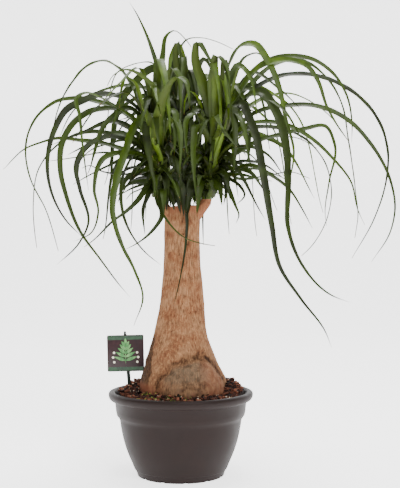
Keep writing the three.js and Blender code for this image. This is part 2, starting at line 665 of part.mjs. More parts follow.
function isClear(guards, others) {
  for (const { at, radius } of guards) {
    if (at.z < TRUNK_TOP + 8) {
      const fromTrunk = Math.hypot(at.x - trunkMiddle(at.z), at.y);
      if (fromTrunk < readAt(TRUNK_OUTLINE, at.z) + radius + BLADE_GAP) {
        return false;
      }
    }
    for (const other of others) {
      const reach = radius + other.radius + BLADE_GAP;
      if (at.distanceToSquared(other.at) < reach * reach) {
        return false;
      }
    }
  }
  return true;
}

// Lays every leaf where it keeps clear of the other heads, the stubs and the trunk
function layLeaves() {
  const placed = { left: [], right: [], back: [] };
  const guards = { left: [], right: [], back: [], stubs: [] };
  for (const [name, head] of Object.entries(HEADS)) {
    guards.stubs.push(...stubGuards(head));
    guards[name].push(...shootGuards(head));
  }
  const lay = (name, make) => {
    const others = Object.keys(guards).filter((key) => key !== name).flatMap((key) => guards[key]);
    for (const shift of SHIFTS) {
      const leaf = make(shift);
      const around = guardsOf(leaf);
      if (isClear(around, others)) {
        placed[name].push(leaf);
        guards[name].push(...around);
        return;
      }
    }
  };
  for (const [name, leaves] of Object.entries(SHAPED_LEAVES)) {
    leaves.forEach((leaf) => lay(name, (shift) => shapedLeaf(HEADS[name], leaf, shift)));
  }
  for (const [name, rules] of Object.entries(FILLING_LEAVES)) {
    for (const rule of rules) {
      for (let i = 0; i < rule.count; i++) {
        lay(name, (shift) => fillingLeaf(HEADS[name], rule, i, shift));
      }
    }
  }
  return placed;
}

// A shoot's radius along its length
const SHOOT_OUTLINE = [[0, 9.5], [0.15, 13.5], [0.5, 13], [0.8, 9], [1, 4]];

// A head: a slim shoot with the sheathed roots of its leaves sunk into it
function makeHead(head, leaves) {
  const stops = SHOOT_OUTLINE.map(([t, r]) => {
    const middle = shootAt(head, mix(SHOOT_BASE, SHOOT_TOP, t));
    return [middle.x, middle.y, middle.z, r];
  });
  const shoot = toSolid(stem(stops, STEM_SIDES));
  const blades = leaves.map((leaf) => toSolid(bladeGeometry(leaf)));
  return wholeBody(wasm.Manifold.union([shoot, ...blades]).setTolerance(SLIVER));
}

// The object

const plant = new THREE.Group();
plant.add(piece('pot', makePot(), 0x504848, 0.45));
plant.add(piece('soil', makeSoil(), 0x5a3223, 0.95));
plant.add(piece('trunk', makeTrunk(), 0xaf7d5a, 0.85));
plant.add(piece('label_card', makeCard(), 0x4a1f22, 0.4));
plant.add(piece('label_stake', makeStake(0), 0x1f2a22, 0.5));
const leaves = layLeaves();
for (const [name, head] of Object.entries(HEADS)) {
  plant.add(piece(`head_${name}`, makeHead(head, leaves[name]), 0x3f6a26, 0.5));
}

export default plant;
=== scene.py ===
"""A potted ponytail palm, dressed for its photograph around the solids that carry it.

Metres, +Z up, the plant's front towards -Y, the origin at the middle of the pot's base.
Forms are worked out in millimetres and turned to metres where a mesh is made.
"""

import logging
import math
import random
from collections.abc import Callable
from dataclasses import dataclass, field
from enum import Enum
from functools import partial

import bpy
import numpy as np
from mathutils import Euler, Matrix, Vector, noise


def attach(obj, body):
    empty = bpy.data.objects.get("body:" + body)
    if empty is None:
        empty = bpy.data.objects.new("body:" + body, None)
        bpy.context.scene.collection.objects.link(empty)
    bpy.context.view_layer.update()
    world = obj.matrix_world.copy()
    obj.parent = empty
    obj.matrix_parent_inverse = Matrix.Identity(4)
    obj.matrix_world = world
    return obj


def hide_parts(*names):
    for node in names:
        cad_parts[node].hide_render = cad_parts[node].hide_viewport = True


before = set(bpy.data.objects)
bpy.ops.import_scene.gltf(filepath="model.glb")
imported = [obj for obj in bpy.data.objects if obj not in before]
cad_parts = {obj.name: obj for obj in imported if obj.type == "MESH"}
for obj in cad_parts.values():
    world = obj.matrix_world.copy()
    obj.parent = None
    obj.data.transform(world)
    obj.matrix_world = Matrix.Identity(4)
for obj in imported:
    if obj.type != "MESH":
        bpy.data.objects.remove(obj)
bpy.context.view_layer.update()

MM = 0.001
SEED = 71
GAP = 0.35
ROOT_BODY = "root"

# Short names for the types that come up most
Piece = bpy.types.Object
Socket = bpy.types.NodeSocket

log = logging.getLogger("palm")


class Slot(Enum):
    """The names of the material slots."""

    POT = "pot_plastic"
    SOIL = "bark_soil"
    BARK = "trunk_bark"
    LEAF = "leaf"
    PRINT = "label_print"
    STAKE = "stake_plastic"


class Head(Enum):
    """The three leafy heads."""

    LEFT = "left"
    RIGHT = "right"
    BACK = "back"


# Small helpers


def mix(low: float, high: float, share: float) -> float:
    """Return the value that lies a share of the way from low to high."""
    return low + (high - low) * share


def smooth(value: float, start: float, end: float) -> float:
    """Ease from 0 at start to 1 at end.

    Args:
        value: The place to read.
        start: Where the ease begins.
        end: Where it is complete; it may be less than start.

    Returns:
        A share from 0 to 1.
    """
    share = min(1.0, max(0.0, (value - start) / (end - start)))
    return share * share * (3 - 2 * share)


def bell(value: float, middle: float, over: float) -> float:
    """Return a bump of height 1 at middle that is gone a few widths away."""
    return math.exp(-(((value - middle) / over) ** 2))


def even(count: int, step: float, start: float = 0.0) -> float:
    """Spread numbers evenly from 0 to 1 as count goes up, with no chance in them.

    Args:
        count: Which number is wanted.
        step: How far each lies from the one before; draws with other steps don't line up.
        start: Where the first one lies.

    Returns:
        A number from 0 to 1.
    """
    value = start + count * step
    return value - math.floor(value)


def turn_gap(turn: float, middle: float) -> float:
    """Return the unsigned angle between two bearings, in radians."""
    return abs((turn - middle + math.pi) % (2 * math.pi) - math.pi)


def facing(turn: float, bearing: float, gone: float, full: float) -> float:
    """Tell how far a place faces a bearing.

    Args:
        turn: The place's own bearing, in radians.
        bearing: The bearing to face, in degrees.
        gone: The gap from which it no longer faces it, in radians.
        full: The gap up to which it faces it fully.

    Returns:
        A share from 0 to 1.
    """
    return smooth(turn_gap(turn, math.radians(bearing)), gone, full)


def polar(radius: float, turn: float) -> tuple[float, float]:
    """Return x and y of a place at a distance and a bearing in radians."""
    return radius * math.cos(turn), radius * math.sin(turn)


def reading(stops: tuple | list, at: float) -> float:
    """Read a line that is drawn through stops.

    Args:
        stops: Places in rising order, each with its value.
        at: The place to read.

    Returns:
        The value there, or the last value beyond the last stop.
    """
    for (low, first), (high, second) in zip(stops, stops[1:]):
        if at <= high:
            return mix(first, second, (at - low) / (high - low))
    return stops[-1][1]


def spots(place: tuple, across: float, up: float, start: float = 0.0, aside: float = 0.0) -> float:
    """Read a noise with spots of a given size.

    Args:
        place: Where it is read, in millimetres.
        across: The spots' size sideways.
        up: Their size upwards.
        start: How far the noise is moved up, so that two noises differ.
        aside: How far it is moved sideways.

    Returns:
        A value about 0, seldom past 1 or -1.
    """
    x, y, z = place
    return noise.noise(Vector((x / across + aside, y / across, z / up + start)))


def linear(shade: str) -> tuple[float, float, float, float]:
    """Turn an sRGB hex colour to the linear values that a shader takes.

    Args:
        shade: A colour such as "#a87850".

    Returns:
        Red, green, blue and an alpha of 1.
    """
    parts = [int(shade[i:i + 2], 16) / 255 for i in (1, 3, 5)]
    red, green, blue = [c / 12.92 if c <= 0.04045 else ((c + 0.055) / 1.055) ** 2.4 for c in parts]
    return red, green, blue, 1.0


def deselect() -> None:
    """Leave object mode with nothing selected."""
    if bpy.context.mode != "OBJECT":
        bpy.ops.object.mode_set(mode="OBJECT")
    bpy.ops.object.select_all(action="DESELECT")


def select_alone(piece: Piece) -> None:
    """Select one object, make it active and leave object mode on."""
    deselect()
    bpy.context.view_layer.objects.active = piece
    piece.select_set(True)


def edit_all(piece: Piece) -> None:
    """Open a piece alone in edit mode with all of it selected."""
    select_alone(piece)
    bpy.ops.object.mode_set(mode="EDIT")
    bpy.ops.mesh.select_all(action="SELECT")


def apply_modifier(piece: Piece, kind: str, **settings) -> None:
    """Add a modifier to a piece and apply it.

    Args:
        piece: The object to change.
        kind: The modifier's type, such as "BEVEL".
        settings: The modifier's values.
    """
    select_alone(piece)
    modifier = piece.modifiers.new(kind.title(), kind)
    for name, value in settings.items():
        setattr(modifier, name, value)
    bpy.ops.object.modifier_apply(modifier=modifier.name)


def mesh_piece(name: str, points: list, faces: list) -> Piece:
    """Make a mesh object from points in millimetres.

    Args:
        name: The object's name.
        points: Places of the vertices, in millimetres.
        faces: Vertex numbers of each face.

    Returns:
        The new object, at the origin.
    """
    mesh = bpy.data.meshes.new(name)
    mesh.from_pydata([Vector(p) * MM for p in points], [], faces)
    piece = bpy.data.objects.new(name, mesh)
    bpy.context.scene.collection.objects.link(piece)
    return piece


def ring_faces(rings: int, sides: int, start: int = 0) -> list:
    """List the quads between rings of points, and the two end faces.

    Args:
        rings: How many rings there are.
        sides: How many points each ring has.
        start: The number of the first point.

    Returns:
        Faces that point outwards where the rings turn left round the way they go.
    """
    faces = []
    for i in range(rings - 1):
        for j in range(sides):
            a = start + i * sides + j
            b = start + i * sides + (j + 1) % sides
            faces.append((a, b, b + sides, a + sides))
    last = start + (rings - 1) * sides
    faces.append(tuple(range(start + sides - 1, start - 1, -1)))
    faces.append(tuple(range(last, last + sides)))
    return faces


def mark(piece: Piece, name: str, values: list) -> None:
    """Store one number for each vertex, for a material to read.

    Args:
        piece: The object whose mesh takes them.
        name: The attribute's name.
        values: One number for each vertex.
    """
    attribute = piece.data.attributes.new(name, "FLOAT", "POINT")
    attribute.data.foreach_set("value", np.array(values, np.float32))


def face_out(piece: Piece) -> None:
    """Merge doubled points and turn every face outwards."""
    edit_all(piece)
    bpy.ops.mesh.remove_doubles(threshold=0.00001)
    bpy.ops.mesh.normals_make_consistent(inside=False)
    deselect()


def hand_over(piece: Piece, finish: bpy.types.Material,
              replaces: tuple = (), angle: float | None = 40.0) -> Piece:
    """Dress a finished piece and fasten it to the plant's body.

    Args:
        piece: The object, at the origin.
        finish: Its material.
        replaces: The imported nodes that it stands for.
        angle: Edges sharper than this many degrees stay sharp, or None for faceted.

    Returns:
        The same object.
    """
    select_alone(piece)
    if angle is not None:
        bpy.ops.object.shade_smooth_by_angle(angle=math.radians(angle))
    piece.data.materials.clear()
    piece.data.materials.append(finish)
    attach(piece, ROOT_BODY)
    if replaces:
        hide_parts(*replaces)
    log.info("%s: %d faces", piece.name, len(piece.data.polygons))
    return piece


# Shader nodes

MIX_A, MIX_B, MIX_RESULT = 6, 7, 2


def feed(tree: bpy.types.NodeTree, node: bpy.types.Node, inputs: dict) -> None:
    """Link sockets to a node's inputs, or set the inputs' values.

    Args:
        tree: The node's tree.
        node: The node.
        inputs: Values or sockets, by the name or number of the input.
    """
    for key, value in inputs.items():
        if isinstance(value, Socket):
            tree.links.new(value, node.inputs[key])
        else:
            node.inputs[key].default_value = value


def add_node(tree: bpy.types.NodeTree, kind: str, inputs: dict | None = None,
             ramp: list | None = None, **settings) -> bpy.types.Node:
    """Add a shader node with its settings, values and links.

    Args:
        tree: The material's node tree.
        kind: The node's type name.
        inputs: Values or sockets to link, by the name or number of the input.
        ramp: Places and colours of a colour ramp, where the node has one.
        settings: The node's own properties.

    Returns:
        The new node.
    """
    node = tree.nodes.new(kind)
    for name, value in settings.items():
        setattr(node, name, value)
    feed(tree, node, inputs or {})
    if ramp:
        stops = node.color_ramp.elements
        while len(stops) < len(ramp):
            stops.new(0.5)
        for stop, (place, shade) in zip(stops, ramp):
            stop.position = place
            stop.color = shade
    return node


class Shading:
    """A material in the making: one Principled shader and the nodes that feed it."""

    def __init__(self, name: str) -> None:
        """Start the material.

        Args:
            name: The material's name.
        """
        self.material = bpy.data.materials.new(name)
        self.material.use_nodes = True
        self.tree = self.material.node_tree
        self.place = add_node(self.tree, "ShaderNodeTexCoord").outputs["Object"]

    def stored(self, name: str) -> Socket:
        """Return a number that is stored on the piece's vertices."""
        return add_node(self.tree, "ShaderNodeAttribute", attribute_name=name).outputs["Fac"]

    def scaled(self, up: float) -> Socket:
        """Return the place with its height scaled: less than 1 draws a noise out upwards."""
        return add_node(self.tree, "ShaderNodeMapping", {
            "Vector": self.place, "Scale": (1.0, 1.0, up),
        }).outputs["Vector"]

    def noise(self, size_mm: float, detail: float, roughness: float = 0.5,
              place: Socket | None = None) -> Socket:
        """Return a noise from 0 to 1.

        Args:
            size_mm: The size of its spots.
            detail: How many finer layers it has.
            roughness: How strong the finer layers are.
            place: Where it is read, if not at the plain place.

        Returns:
            The noise's value.
        """
        return add_node(self.tree, "ShaderNodeTexNoise", {
            "Vector": place or self.place, "Scale": 1 / (size_mm * MM), "Detail": detail,
            "Roughness": roughness,
        }).outputs["Fac"]

    def span(self, value: Socket, start: float, end: float, low: float,
             high: float) -> Socket:
        """Turn a value that runs from start to end to one that runs from low to high."""
        return add_node(self.tree, "ShaderNodeMapRange", {
            "Value": value, "From Min": start, "From Max": end, "To Min": low, "To Max": high,
        }).outputs["Result"]

    def work(self, operation: str, first: Socket, second: object = 0.0,
             clamp: bool = False) -> Socket:
        """Return the outcome of a sum on two values, kept from 0 to 1 where clamp is set."""
        return add_node(self.tree, "ShaderNodeMath", {0: first, 1: second}, operation=operation,
                        use_clamp=clamp).outputs[0]

    def ramp(self, value: Socket, *stops: tuple) -> Socket:
        """Return the colour that a value reaches between stops, each a place and a shade."""
        return add_node(self.tree, "ShaderNodeValToRGB", {"Fac": value},
                        [(at, linear(shade)) for at, shade in stops]).outputs["Color"]

    def blend(self, share: object, first: object, second: object) -> Socket:
        """Return a blend of two colours, the second's part being the share."""
        first, second = (linear(shade) if isinstance(shade, str) else shade
                         for shade in (first, second))
        return add_node(self.tree, "ShaderNodeMix", {0: share, MIX_A: first, MIX_B: second},
                        data_type="RGBA").outputs[MIX_RESULT]

    def finish(self, height: Socket | None = None, bump: tuple = (),
               **inputs: object) -> bpy.types.Material:
        """Feed the shader.

        Args:
            height: What the bump is read from, if there is a bump.
            bump: The bump's strength and its depth in millimetres.
            inputs: Sockets to link or values to set, by the shader's inputs with _ for a space.

        Returns:
            The finished material.
        """
        if height:
            strength, depth = bump
            inputs["Normal"] = add_node(self.tree, "ShaderNodeBump", {
                "Height": height, "Strength": strength, "Distance": depth * MM,
            }).outputs["Normal"]
        shader = self.tree.nodes["Principled BSDF"]
        feed(self.tree, shader, {name.replace("_", " "): value for name, value in inputs.items()})
        return self.material


@dataclass(frozen=True)
class MouldedPolypropylene:
    """Polypropylene, injection moulded: satin, with broad soft highlights and fine dust."""

    name: str = "moulded_polypropylene_taupe"
    shade: str = "#1d1311"
    dusty: str = "#271b18"
    grain_mm: float = 0.7
    cloud_mm: float = 45.0

    def make(self) -> bpy.types.Material:
        """Return the material of a moulded piece."""
        look = Shading(self.name)
        cloud = look.noise(self.cloud_mm, 5.0, 0.6)
        dust = look.span(cloud, 0.45, 0.8, 0.0, 0.45)
        colour = look.blend(dust, self.shade, self.dusty)
        return look.finish(look.noise(self.grain_mm, 2.0), (0.25, 0.08), Base_Color=colour,
                           Roughness=look.span(cloud, 0.3, 0.7, 0.46, 0.58), IOR=1.49,
                           Specular_IOR_Level=0.15)


@dataclass(frozen=True)
class CorkyBark:
    """Corky bark, grown: matt tan with fine upright cracks, darker where soil and wet reach it, and
    with painted shade on its left side and under the right head.
    """

    light: str = "#a57852"
    tan: str = "#764d34"
    brown: str = "#42291b"
    rust: str = "#6c402a"
    straw: str = "#a8835f"
    crack: str = "#22130b"
    # Colour of wet bark, also used for painted shade
    damp_and_shade: str = "#1b110b"
    algae: str = "#584c3d"
    fresh: str = "#87513b"
    streak_mm: float = 2.5
    streak_length: float = 5.5
    blotch_mm: float = 24.0
    blotch_share: float = 0.28
    dash_mm: float = 2.9
    dash_flatness: float = 3.6
    fibre_mm: float = 0.9

    def make(self) -> bpy.types.Material:
        """Return the trunk's material."""
        look = Shading("corky_bark_grown")
        drawn = look.scaled(1 / self.streak_length)
        streak = look.noise(self.streak_mm, 6.0, 0.62, drawn)
        base = look.ramp(streak, (0.33, self.brown), (0.48, self.tan), (0.68, self.light))
        dash = look.noise(self.dash_mm, 3.0, 0.6, look.scaled(self.dash_flatness))
        base = look.blend(look.span(dash, 0.37, 0.49, 0.6, 0.0), base, self.brown)
        blotch = look.noise(self.blotch_mm, 4.0, 0.6)
        base = look.blend(self.blotch_share, base,
                          look.ramp(blotch, (0.38, self.rust), (0.6, self.straw)))
        for name in ("algae", "crack", "damp_and_shade", "fresh"):
            uneven = look.span(streak, 0.3, 0.65, 1.0, 0.55)
            share = look.work("MULTIPLY", look.stored(name), uneven, clamp=True)
            base = look.blend(share, base, getattr(self, name))
        fibre = look.noise(self.fibre_mm, 4.0, 0.7, drawn)
        return look.finish(fibre, (0.7, 0.5), Base_Color=base, Roughness=0.9,
                           Specular_IOR_Level=0.08)


@dataclass(frozen=True)
class StrapLeaf:
    """A tough strap leaf, grown: waxy, finely ribbed along its length and paler below."""

    dark: str = "#191f08"
    green: str = "#35470a"
    bright: str = "#6a8812"
    base: str = "#789a1a"
    pale: str = "#5e622a"
    dry: str = "#6b4a22"
    ribs: int = 11
    cloud_mm: float = 30.0

    def make(self) -> bpy.types.Material:
        """Return the leaves' material."""
        look = Shading("strap_leaf_waxy")
        cloud = look.noise(self.cloud_mm, 4.0, 0.55)
        mottle = look.span(cloud, 0.3, 0.7, -0.12, 0.12)
        tone = look.work("ADD", look.stored("tone"), mottle, clamp=True)
        colour = look.ramp(tone, (0.05, self.dark), (0.5, self.green), (0.95, self.bright))
        wave = look.work("SINE", look.work("MULTIPLY", look.stored("across"), self.ribs * math.tau))
        colour = look.blend(look.span(wave, -1.0, 1.0, 0.0, 0.22), colour, self.dark)
        under = look.work("MULTIPLY", look.stored("under"), 0.16)
        colour = look.blend(under, colour, self.pale)
        along = look.stored("along")
        low = look.work("MULTIPLY", look.span(along, 0.02, 0.2, 1.1, 0.0), tone)
        colour = look.blend(low, colour, self.base)
        colour = look.blend(look.span(along, 0.975, 1.0, 0.0, 0.9), colour, self.dry)
        return look.finish(wave, (0.35, 0.1), Base_Color=colour,
                           Roughness=look.span(cloud, 0.3, 0.7, 0.36, 0.5), IOR=1.45,
                           Specular_IOR_Level=0.24)


@dataclass(frozen=True)
class Crumbs:
    """Loose bits of one kind, such as bark or expanded stone: matt, each with its own shade."""

    name: str
    dark: str
    middle: str
    light: str
    grain_mm: float = 1.2
    roughness: float = 0.92

    def make(self) -> bpy.types.Material:
        """Return the material of these bits."""
        look = Shading(self.name)
        grain = look.noise(self.grain_mm, 4.0, 0.7)
        mottle = look.span(grain, 0.3, 0.7, -0.25, 0.25)
        tone = look.work("ADD", look.stored("tone"), mottle, clamp=True)
        colour = look.ramp(tone, (0.1, self.dark), (0.5, self.middle), (0.95, self.light))
        return look.finish(grain, (0.8, 0.4), Base_Color=colour, Roughness=self.roughness,
                           Specular_IOR_Level=0.2)


@dataclass(frozen=True)
class PrintedCard:
    """Printed polypropylene or its ink, laminated: an even colour under a thin glossy film."""

    name: str
    shade: str
    worn: str
    roughness: float = 0.3
    cloud_mm: float = 7.0

    def make(self) -> bpy.types.Material:
        """Return the material of one printed colour."""
        look = Shading(self.name)
        cloud = look.noise(self.cloud_mm, 5.0, 0.6)
        colour = look.blend(look.span(cloud, 0.4, 0.75, 0.0, 0.7), self.shade, self.worn)
        gloss = look.span(cloud, 0.0, 1.0, self.roughness, self.roughness + 0.12)
        return look.finish(Base_Color=colour, Roughness=gloss, IOR=1.49)


# Pot


@dataclass
class BowlPot:
    """The round bowl pot, with its rolled rim, foot notches and drain holes."""

    sides: int = 128
    outside: list = field(default_factory=lambda: [
        (81, 0), (81.3, 2), (84.4, 10), (84.8, 11), (86.6, 12), (89.2, 18), (92.4, 26), (96.9, 36),
        (101, 46.5), (104.5, 57), (107.5, 68), (110, 79), (112, 90), (113.6, 101), (114, 103),
        (114.9, 105.4), (117.4, 109), (119.6, 112), (121.2, 120), (122.9, 136), (124.5, 138.3),
        (127.4, 139.3), (130.8, 140.5), (133, 142.6), (134.3, 145.5), (134.9, 148), (135, 150.5),
        (134.3, 152.7), (132.8, 154.2), (130.4, 155.2), (127.5, 155.5), (125.2, 155.1),
        (123.6, 154),
    ])
    inside: list = field(default_factory=lambda: [
        (121, 148), (119.7, 136), (116.6, 113), (111, 103), (109, 90), (104.5, 68), (98, 46.5),
        (89.3, 26), (80.5, 8), (76, 4),
    ])
    drain_holes: int = 6
    drain_ring: float = 45.0
    drain_radius: float = 5.0
    notches: int = 12
    notch: tuple = (8.0, 7.0, 3.5)

    def build(self) -> Piece:
        """Turn the wall ring by ring from a disc, then cut the holes and notches.

        Returns:
            The pot's object.
        """
        deselect()
        radius, height = self.outside[0]
        bpy.ops.mesh.primitive_circle_add(vertices=self.sides, radius=radius * MM, fill_type="NGON",
                                          location=(0, 0, height * MM))
        pot = bpy.context.object
        pot.name = "pot_moulded"
        edit_all(pot)
        for next_radius, next_height in self.outside[1:] + self.inside:
            bpy.ops.mesh.extrude_region_move(
                TRANSFORM_OT_translate={"value": (0, 0, (next_height - height) * MM)})
            ratio = next_radius / radius
            bpy.ops.transform.resize(value=(ratio, ratio, 1),
                                     center_override=(0, 0, next_height * MM))
            radius, height = next_radius, next_height
        select_alone(pot)
        bpy.ops.object.transform_apply(location=True, rotation=True, scale=True)
        face_out(pot)
        length, width, height = (size * MM for size in self.notch)
        drains = self.cutters(self.drain_holes, 0.5, self.drain_ring, False,
                              bpy.ops.mesh.primitive_cylinder_add, vertices=32,
                              radius=self.drain_radius * MM, depth=4 * self.inside[-1][1] * MM)
        notches = self.cutters(self.notches, 0.25, self.outside[0][0] + 1, True,
                               bpy.ops.mesh.primitive_cube_add, size=1,
                               scale=(length, width, 2 * height))
        for cutter in (drains, notches):
            apply_modifier(pot, "BOOLEAN", object=cutter, operation="DIFFERENCE", solver="EXACT")
            bpy.data.objects.remove(cutter)
        return pot

    def cutters(self, count: int, start: float, reach: float, turned: bool, add: Callable,
                **settings) -> Piece:
        """Return one object of equal cutters set in a ring.

        Args:
            count: How many there are.
            start: How far the first is turned, as a share of the way to the next.
            reach: The ring's radius in millimetres.
            turned: Whether each is turned to face outwards.
            add: What adds one cutter.
            settings: Its sizes.

        Returns:
            All the cutters, joined.
        """
        deselect()
        parts = []
        for i in range(count):
            turn = math.tau * (i + start) / count
            add(rotation=(0, 0, turn if turned else 0), location=(*polar(reach * MM, turn), 0),
                **settings)
            parts.append(bpy.context.object)
        deselect()
        for part in parts:
            part.select_set(True)
        bpy.context.view_layer.objects.active = parts[0]
        bpy.ops.object.join()
        return bpy.context.object

    def dress(self) -> None:
        """Build the pot and give it its finish."""
        hand_over(self.build(), MouldedPolypropylene().make(), ("pot",), 35)


# Trunk


@dataclass
class Trunk:
    """The swollen trunk, sawn off at the top, with its roots and the stubs that carry the heads."""

    sides: int = 216
    rings: int = 264
    axis_x: float = 2.5
    top: float = 499.0
    foot: float = 94.0
    saw_tilt: float = 2.5
    outline: list = field(default_factory=lambda: [
        (94, 44), (108, 67), (134, 79), (158, 81.5), (173, 80.5), (190, 73.5), (206, 67), (224, 62),
        (240, 56.5), (257, 51.3), (277, 47), (300, 42.8), (330, 39.3), (370, 36.2), (418, 34.2),
        (465, 32.2), (489, 32), (499, 30.5),
    ])
    boss_turn: float = math.radians(-66)
    boss_height: float = 170.0
    boss_reach: tuple = (math.radians(52), 50.0)
    knob: tuple = (182, 211)
    # Bearing in degrees of the left side that is darkened as painted shade
    shaded_flank: float = 192
    # Bearing in degrees of the painted shade under the right head
    shade_under_head: float = -36
    saw_rings: int = 26
    stub_path: list = field(default_factory=lambda: [
        (0.3, 462, 11), (0.65, 488, 13), (0.9, 503, 12), (1, 513, 10),
    ])
    root_path: list = field(default_factory=lambda: [(34, 34, 3), (50, 62, 9.6), (44, 104, 10.4)])
    roots: int = 4
    stub_mesh: tuple = (40, 9)
    root_mesh: tuple = (20, 10)
    root_fresh: float = 0.3
    sharp: float = 60.0
    # The third stain also carries painted shade
    stains_and_shade: tuple = ("crack", "algae", "damp_and_shade", "fresh")

    def middle(self, z: float) -> float:
        """Return how far to the side the trunk's middle lies at a height."""
        return self.axis_x - 3 * bell(z, 240, 60)

    def plain_radius(self, z: float) -> float:
        """Return the outline's radius at a height."""
        return reading(self.outline, z)

    def eased_radius(self, z: float) -> float:
        """Return the outline's radius with its corners rounded off."""
        low, high = self.outline[0][0], self.outline[-1][0]
        around = [min(high, max(low, z + step)) for step in (-8, -4, 0, 4, 8)]
        return sum(self.plain_radius(place) for place in around) / len(around)

    def surface(self, turn: float, z: float) -> float:
        """Return the radius with the broad lobes of the foot and the dents of the column."""
        lobes = 2.4 * math.sin(5 * turn + 0.6) + 1.5 * math.sin(3 * turn - 1.1 + z / 60)
        dents = 0.7 * math.sin(4 * turn + z / 23) + 0.5 * math.sin(7 * turn - z / 31)
        return self.eased_radius(z) + bell(z, 190, 42) * lobes + dents

    def boss(self, turn: float, z: float) -> float:
        """Return how near the boss's edge a place is: 0 at its middle, 1 at its edge."""
        wander = 0.12 * noise.noise(Vector((3 * turn, z / 16, 4)))
        wide, tall = self.boss_reach
        aside = turn_gap(turn, self.boss_turn) / wide
        return math.hypot(aside, (z - self.boss_height) / tall) + wander

    def relief(self, turn: float, z: float, radius: float) -> tuple[float, dict]:
        """Work out the bark's relief, its stain marks and its painted shade at a place.

        The ranges that z is eased over are heights of the photographed marks, in millimetres.

        Args:
            turn: Bearing round the trunk, in radians.
            z: Height in millimetres.
            radius: The plain surface's radius there.

        Returns:
            How far the bark stands proud, in millimetres, and the share of each stain, painted
            shade included.
        """
        place = (*polar(radius, turn), z)
        swell = smooth(z, 300, 180)
        grain = (1.1 * spots(place, 20, 55) + 0.5 * spots(place, 4.2, 34, 7)
                 + 0.28 * spots(place, 2.1, 15, 3) + 0.3 * swell * spots(place, 13, 3.5))
        where = smooth(spots(place, 26, 44, 5), -0.15, 0.25)
        crack = smooth(abs(spots(place, 6.5, 60 - 25 * swell, aside=9)), 0.07, 0.0) * where
        pits = smooth(spots(place, 3.4, 6, 11), 0.42, 0.62)
        near = self.boss(turn, z)
        dome = 6.5 * smooth(near, 1.08, 0.74)
        broken = mix(0.4, 1.0, smooth(spots(place, 12, 10, 31), -0.1, 0.35))
        edge = bell(near, 1.04, 0.1) * smooth(z, 150, 160) * broken
        scar = smooth(spots(place, 8, 9, 20), 0.1, 0.4)
        wide = mix(27, 11, smooth(z, 190, 250)) + 5 * noise.noise(Vector((z / 9, 3, 8)))
        # Painted shade: a dark band down the left side, narrower higher up
        left = facing(turn, self.shaded_flank, math.radians(wide + 9), math.radians(wide))
        # Painted shade: a dark band high on the right side
        shoulder_shade_band = bell(z, 205 + 31 * turn_gap(turn, math.radians(-10)), 8) * broken
        knob_bearing, knob_height = self.knob
        knob = 2.6 * bell(z, knob_height, 9) * facing(turn, knob_bearing, 0.35, 0.0)
        rise = grain + dome + knob - 0.9 * crack - edge - 0.5 * pits
        on_boss = smooth(near, 1.0, 0.8)
        rise += on_boss * (2.2 * spots(place, 11, 14, 17) + 1.2 * spots(place, 5, 7, 2))
        patch = smooth(spots(place, 9, 12, aside=4), 0.02, 0.3)
        upper = smooth(z, 172, 196) * facing(turn, -86, 0.75, 0.35)
        # Shares of painted shade: down the left side, under the right head, and just inside the
        # boss's edge
        shaded_flank = 1.4 * left * smooth(z, 270, 240) * smooth(z, 156, 168)
        shade_under_head = shoulder_shade_band * facing(turn, self.shade_under_head, 0.6, 0.3)
        hollow_shade = 0.6 * on_boss * scar * bell(near, 0.85, 0.15) * facing(turn, -100, 0.5, 0.1)
        rubbed = 0.7 * smooth(z, 180, 168) * facing(turn, 205, 0.6, 0.3)
        flush = 0.4 * on_boss * facing(turn, -40, 0.5, 0.15)
        # The third share darkens wet bark and also carries the painted shade worked out above
        shares = (0.75 * crack + 1.3 * edge + 0.5 * pits,
                  on_boss * (0.42 + 0.3 * scar + 0.6 * upper) + 0.18 * swell,
                  shaded_flank + shade_under_head + 0.7 * smooth(z, 160, 150) + 0.5 * on_boss * patch + hollow_shade,
                  0.8 * smooth(z, 480, 494) + 0.45 * smooth(z, 172, 156) * scar + rubbed + flush)
        return rise, {name: min(1.0, share) for name, share in zip(self.stains_and_shade, shares)}

    def bark(self) -> Piece:
        """Roll a fine sheet round the trunk's form and close its two ends.

        Returns:
            The trunk's object, with each stain's share and the painted shade stored on its
            vertices.
        """
        points = []
        stains_and_shade: dict[str, list] = {name: [] for name in self.stains_and_shade}
        for i in range(self.rings):
            z = mix(self.foot, self.top, i / (self.rings - 1))
            fade = smooth(z, self.top, self.top - 3)
            for j in range(self.sides):
                turn = math.tau * j / self.sides
                radius = self.surface(turn, z)
                rise, shares = self.relief(turn, z, radius)
                radius += rise * mix(0.35, 1.0, fade)
                tilt = self.saw_tilt * math.sin(turn + 2.2) * smooth(z, self.top - 10, self.top)
                x, y = polar(radius, turn)
                points.append((self.middle(z) + x, y, z + tilt))
                for name, share in shares.items():
                    stains_and_shade[name].append(share)
        faces = ring_faces(self.rings, self.sides)[:-1]
        self.sawn_face(points, faces, stains_and_shade)
        trunk = mesh_piece("trunk_bark", points, faces)
        for name, values in stains_and_shade.items():
            mark(trunk, name, values)
        return trunk

